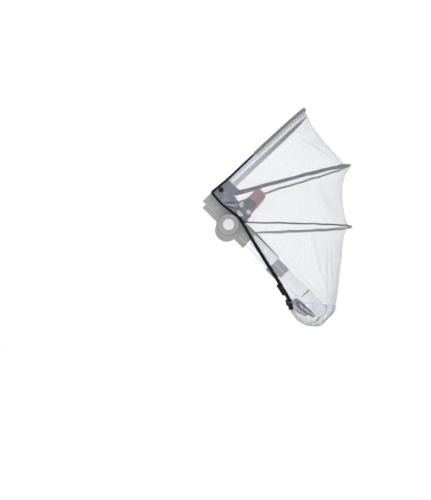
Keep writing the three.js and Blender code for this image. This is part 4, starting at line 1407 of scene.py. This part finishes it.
hoop_stitches("upper_stitches_1", UPPER_HOOP, UPPER_CASING, -1)
hoop_stitches("upper_stitches_2", UPPER_HOOP, UPPER_CASING, 1)
hoop_stitches("lower_stitches", LOWER_HOOP, LOWER_CASING, -1)
bow_line, bow_up, bow_out = arch_frame(BOW, np.linspace(-0.97, 0.97, 400))
for number, height in enumerate((-9.5, 0.4, 10.5), 1):
    line = bow_line + bow_up * height + bow_out * 1.7
    stitch_row(f"bow_stitches_{number}", line, bow_out, THREAD_GREY, "light_band")
for side_name, hand in SIDES.items():
    for number, column in enumerate((4, 56), 1):
        rim = flat_patch[2:100, column]
        out = PATCH_MIDDLE + relief[2:100, column] + 0.75
        line = np.stack([rim[:, 0], hand * out, rim[:, 1]], axis=1)
        way = np.array([0.0, hand, 0.0])
        stitch_row(f"patch_stitches_{number}_{side_name}", line, way, THREAD_LIGHT, "patch_cloth")

# %% [markdown]
# The slider has two bars that the elastic passes under, and the clip has a spring tongue. The leather
# ends in a folded hem on each arm of the bar.

# %% Bars, tongue and hems
SLIDER_PLACE = np.array([175.5, -214.0])
SLIDER_WAY = unit(np.array([50.0, -79.0]))
SLIDER_FACE = 221.8
CLIP_PLACE = np.array([201.0, -265.0])
CLIP_WAY = unit(np.array([0.2, -0.98]))
CLIP_FACE = 219.5
LEFT_LIFT = 19 * OFF_TUBE[[0, 2]]
HEM_ENDS = np.array([113.2, 114.0, 116.4, 117.2])
HEM_GROWTH = np.array([-0.1, 0.6, 0.6, -0.1])
BAR_ARM = np.array([0.0, 187.5, 0.0])


def turned_outline(centre, way, long, wide):
    """Four corners of a block with its long side along a direction of the side plane."""
    square_way = np.array([-way[1], way[0]])
    return [centre + way * a * long / 2 + square_way * b * wide / 2 for a, b in CORNERS]


def fitting_plates(shift):
    """Name, outline, inner face, thickness and drawn-in edge of the plates on slider and clip."""
    for number, step in enumerate((-11, -4, 4, 11), 1):
        place = SLIDER_PLACE + shift + SLIDER_WAY * step
        yield f"slider_bar_{number}", turned_outline(place, SLIDER_WAY, 3, 15), SLIDER_FACE, 1.1, 0.5
    place = CLIP_PLACE + shift - CLIP_WAY
    yield "clip_tongue", turned_outline(place, CLIP_WAY, 13, 6), CLIP_FACE, 1.3, 0.6
    for number, step in enumerate((7, 9), 1):
        place = CLIP_PLACE + shift + CLIP_WAY * step
        yield f"clip_rib_{number}", turned_outline(place, CLIP_WAY, 1, 11), CLIP_FACE, 0.8, 0.3


for side_name, hand in SIDES.items():
    for part, outline, inner, thick, edge in fitting_plates(max(hand, 0) * LEFT_LIFT):
        plate(f"{part}_{side_name}", outline, inner, thick, hand, *BLACK, edge)
    middle = DOWN_TUBE + HEM_ENDS[:, None] * OFF_TUBE + hand * BAR_ARM
    ways = (np.broadcast_to(way, middle.shape) for way in (DOWN_TUBE, np.array([0.0, 1.0, 0.0])))
    mesh = strip(middle, *ways, 19.5 + HEM_GROWTH, 12.5 + HEM_GROWTH, square=7, points_round=48)
    add_piece(f"leather_hem_{side_name}", mesh, LEATHER, "leather")
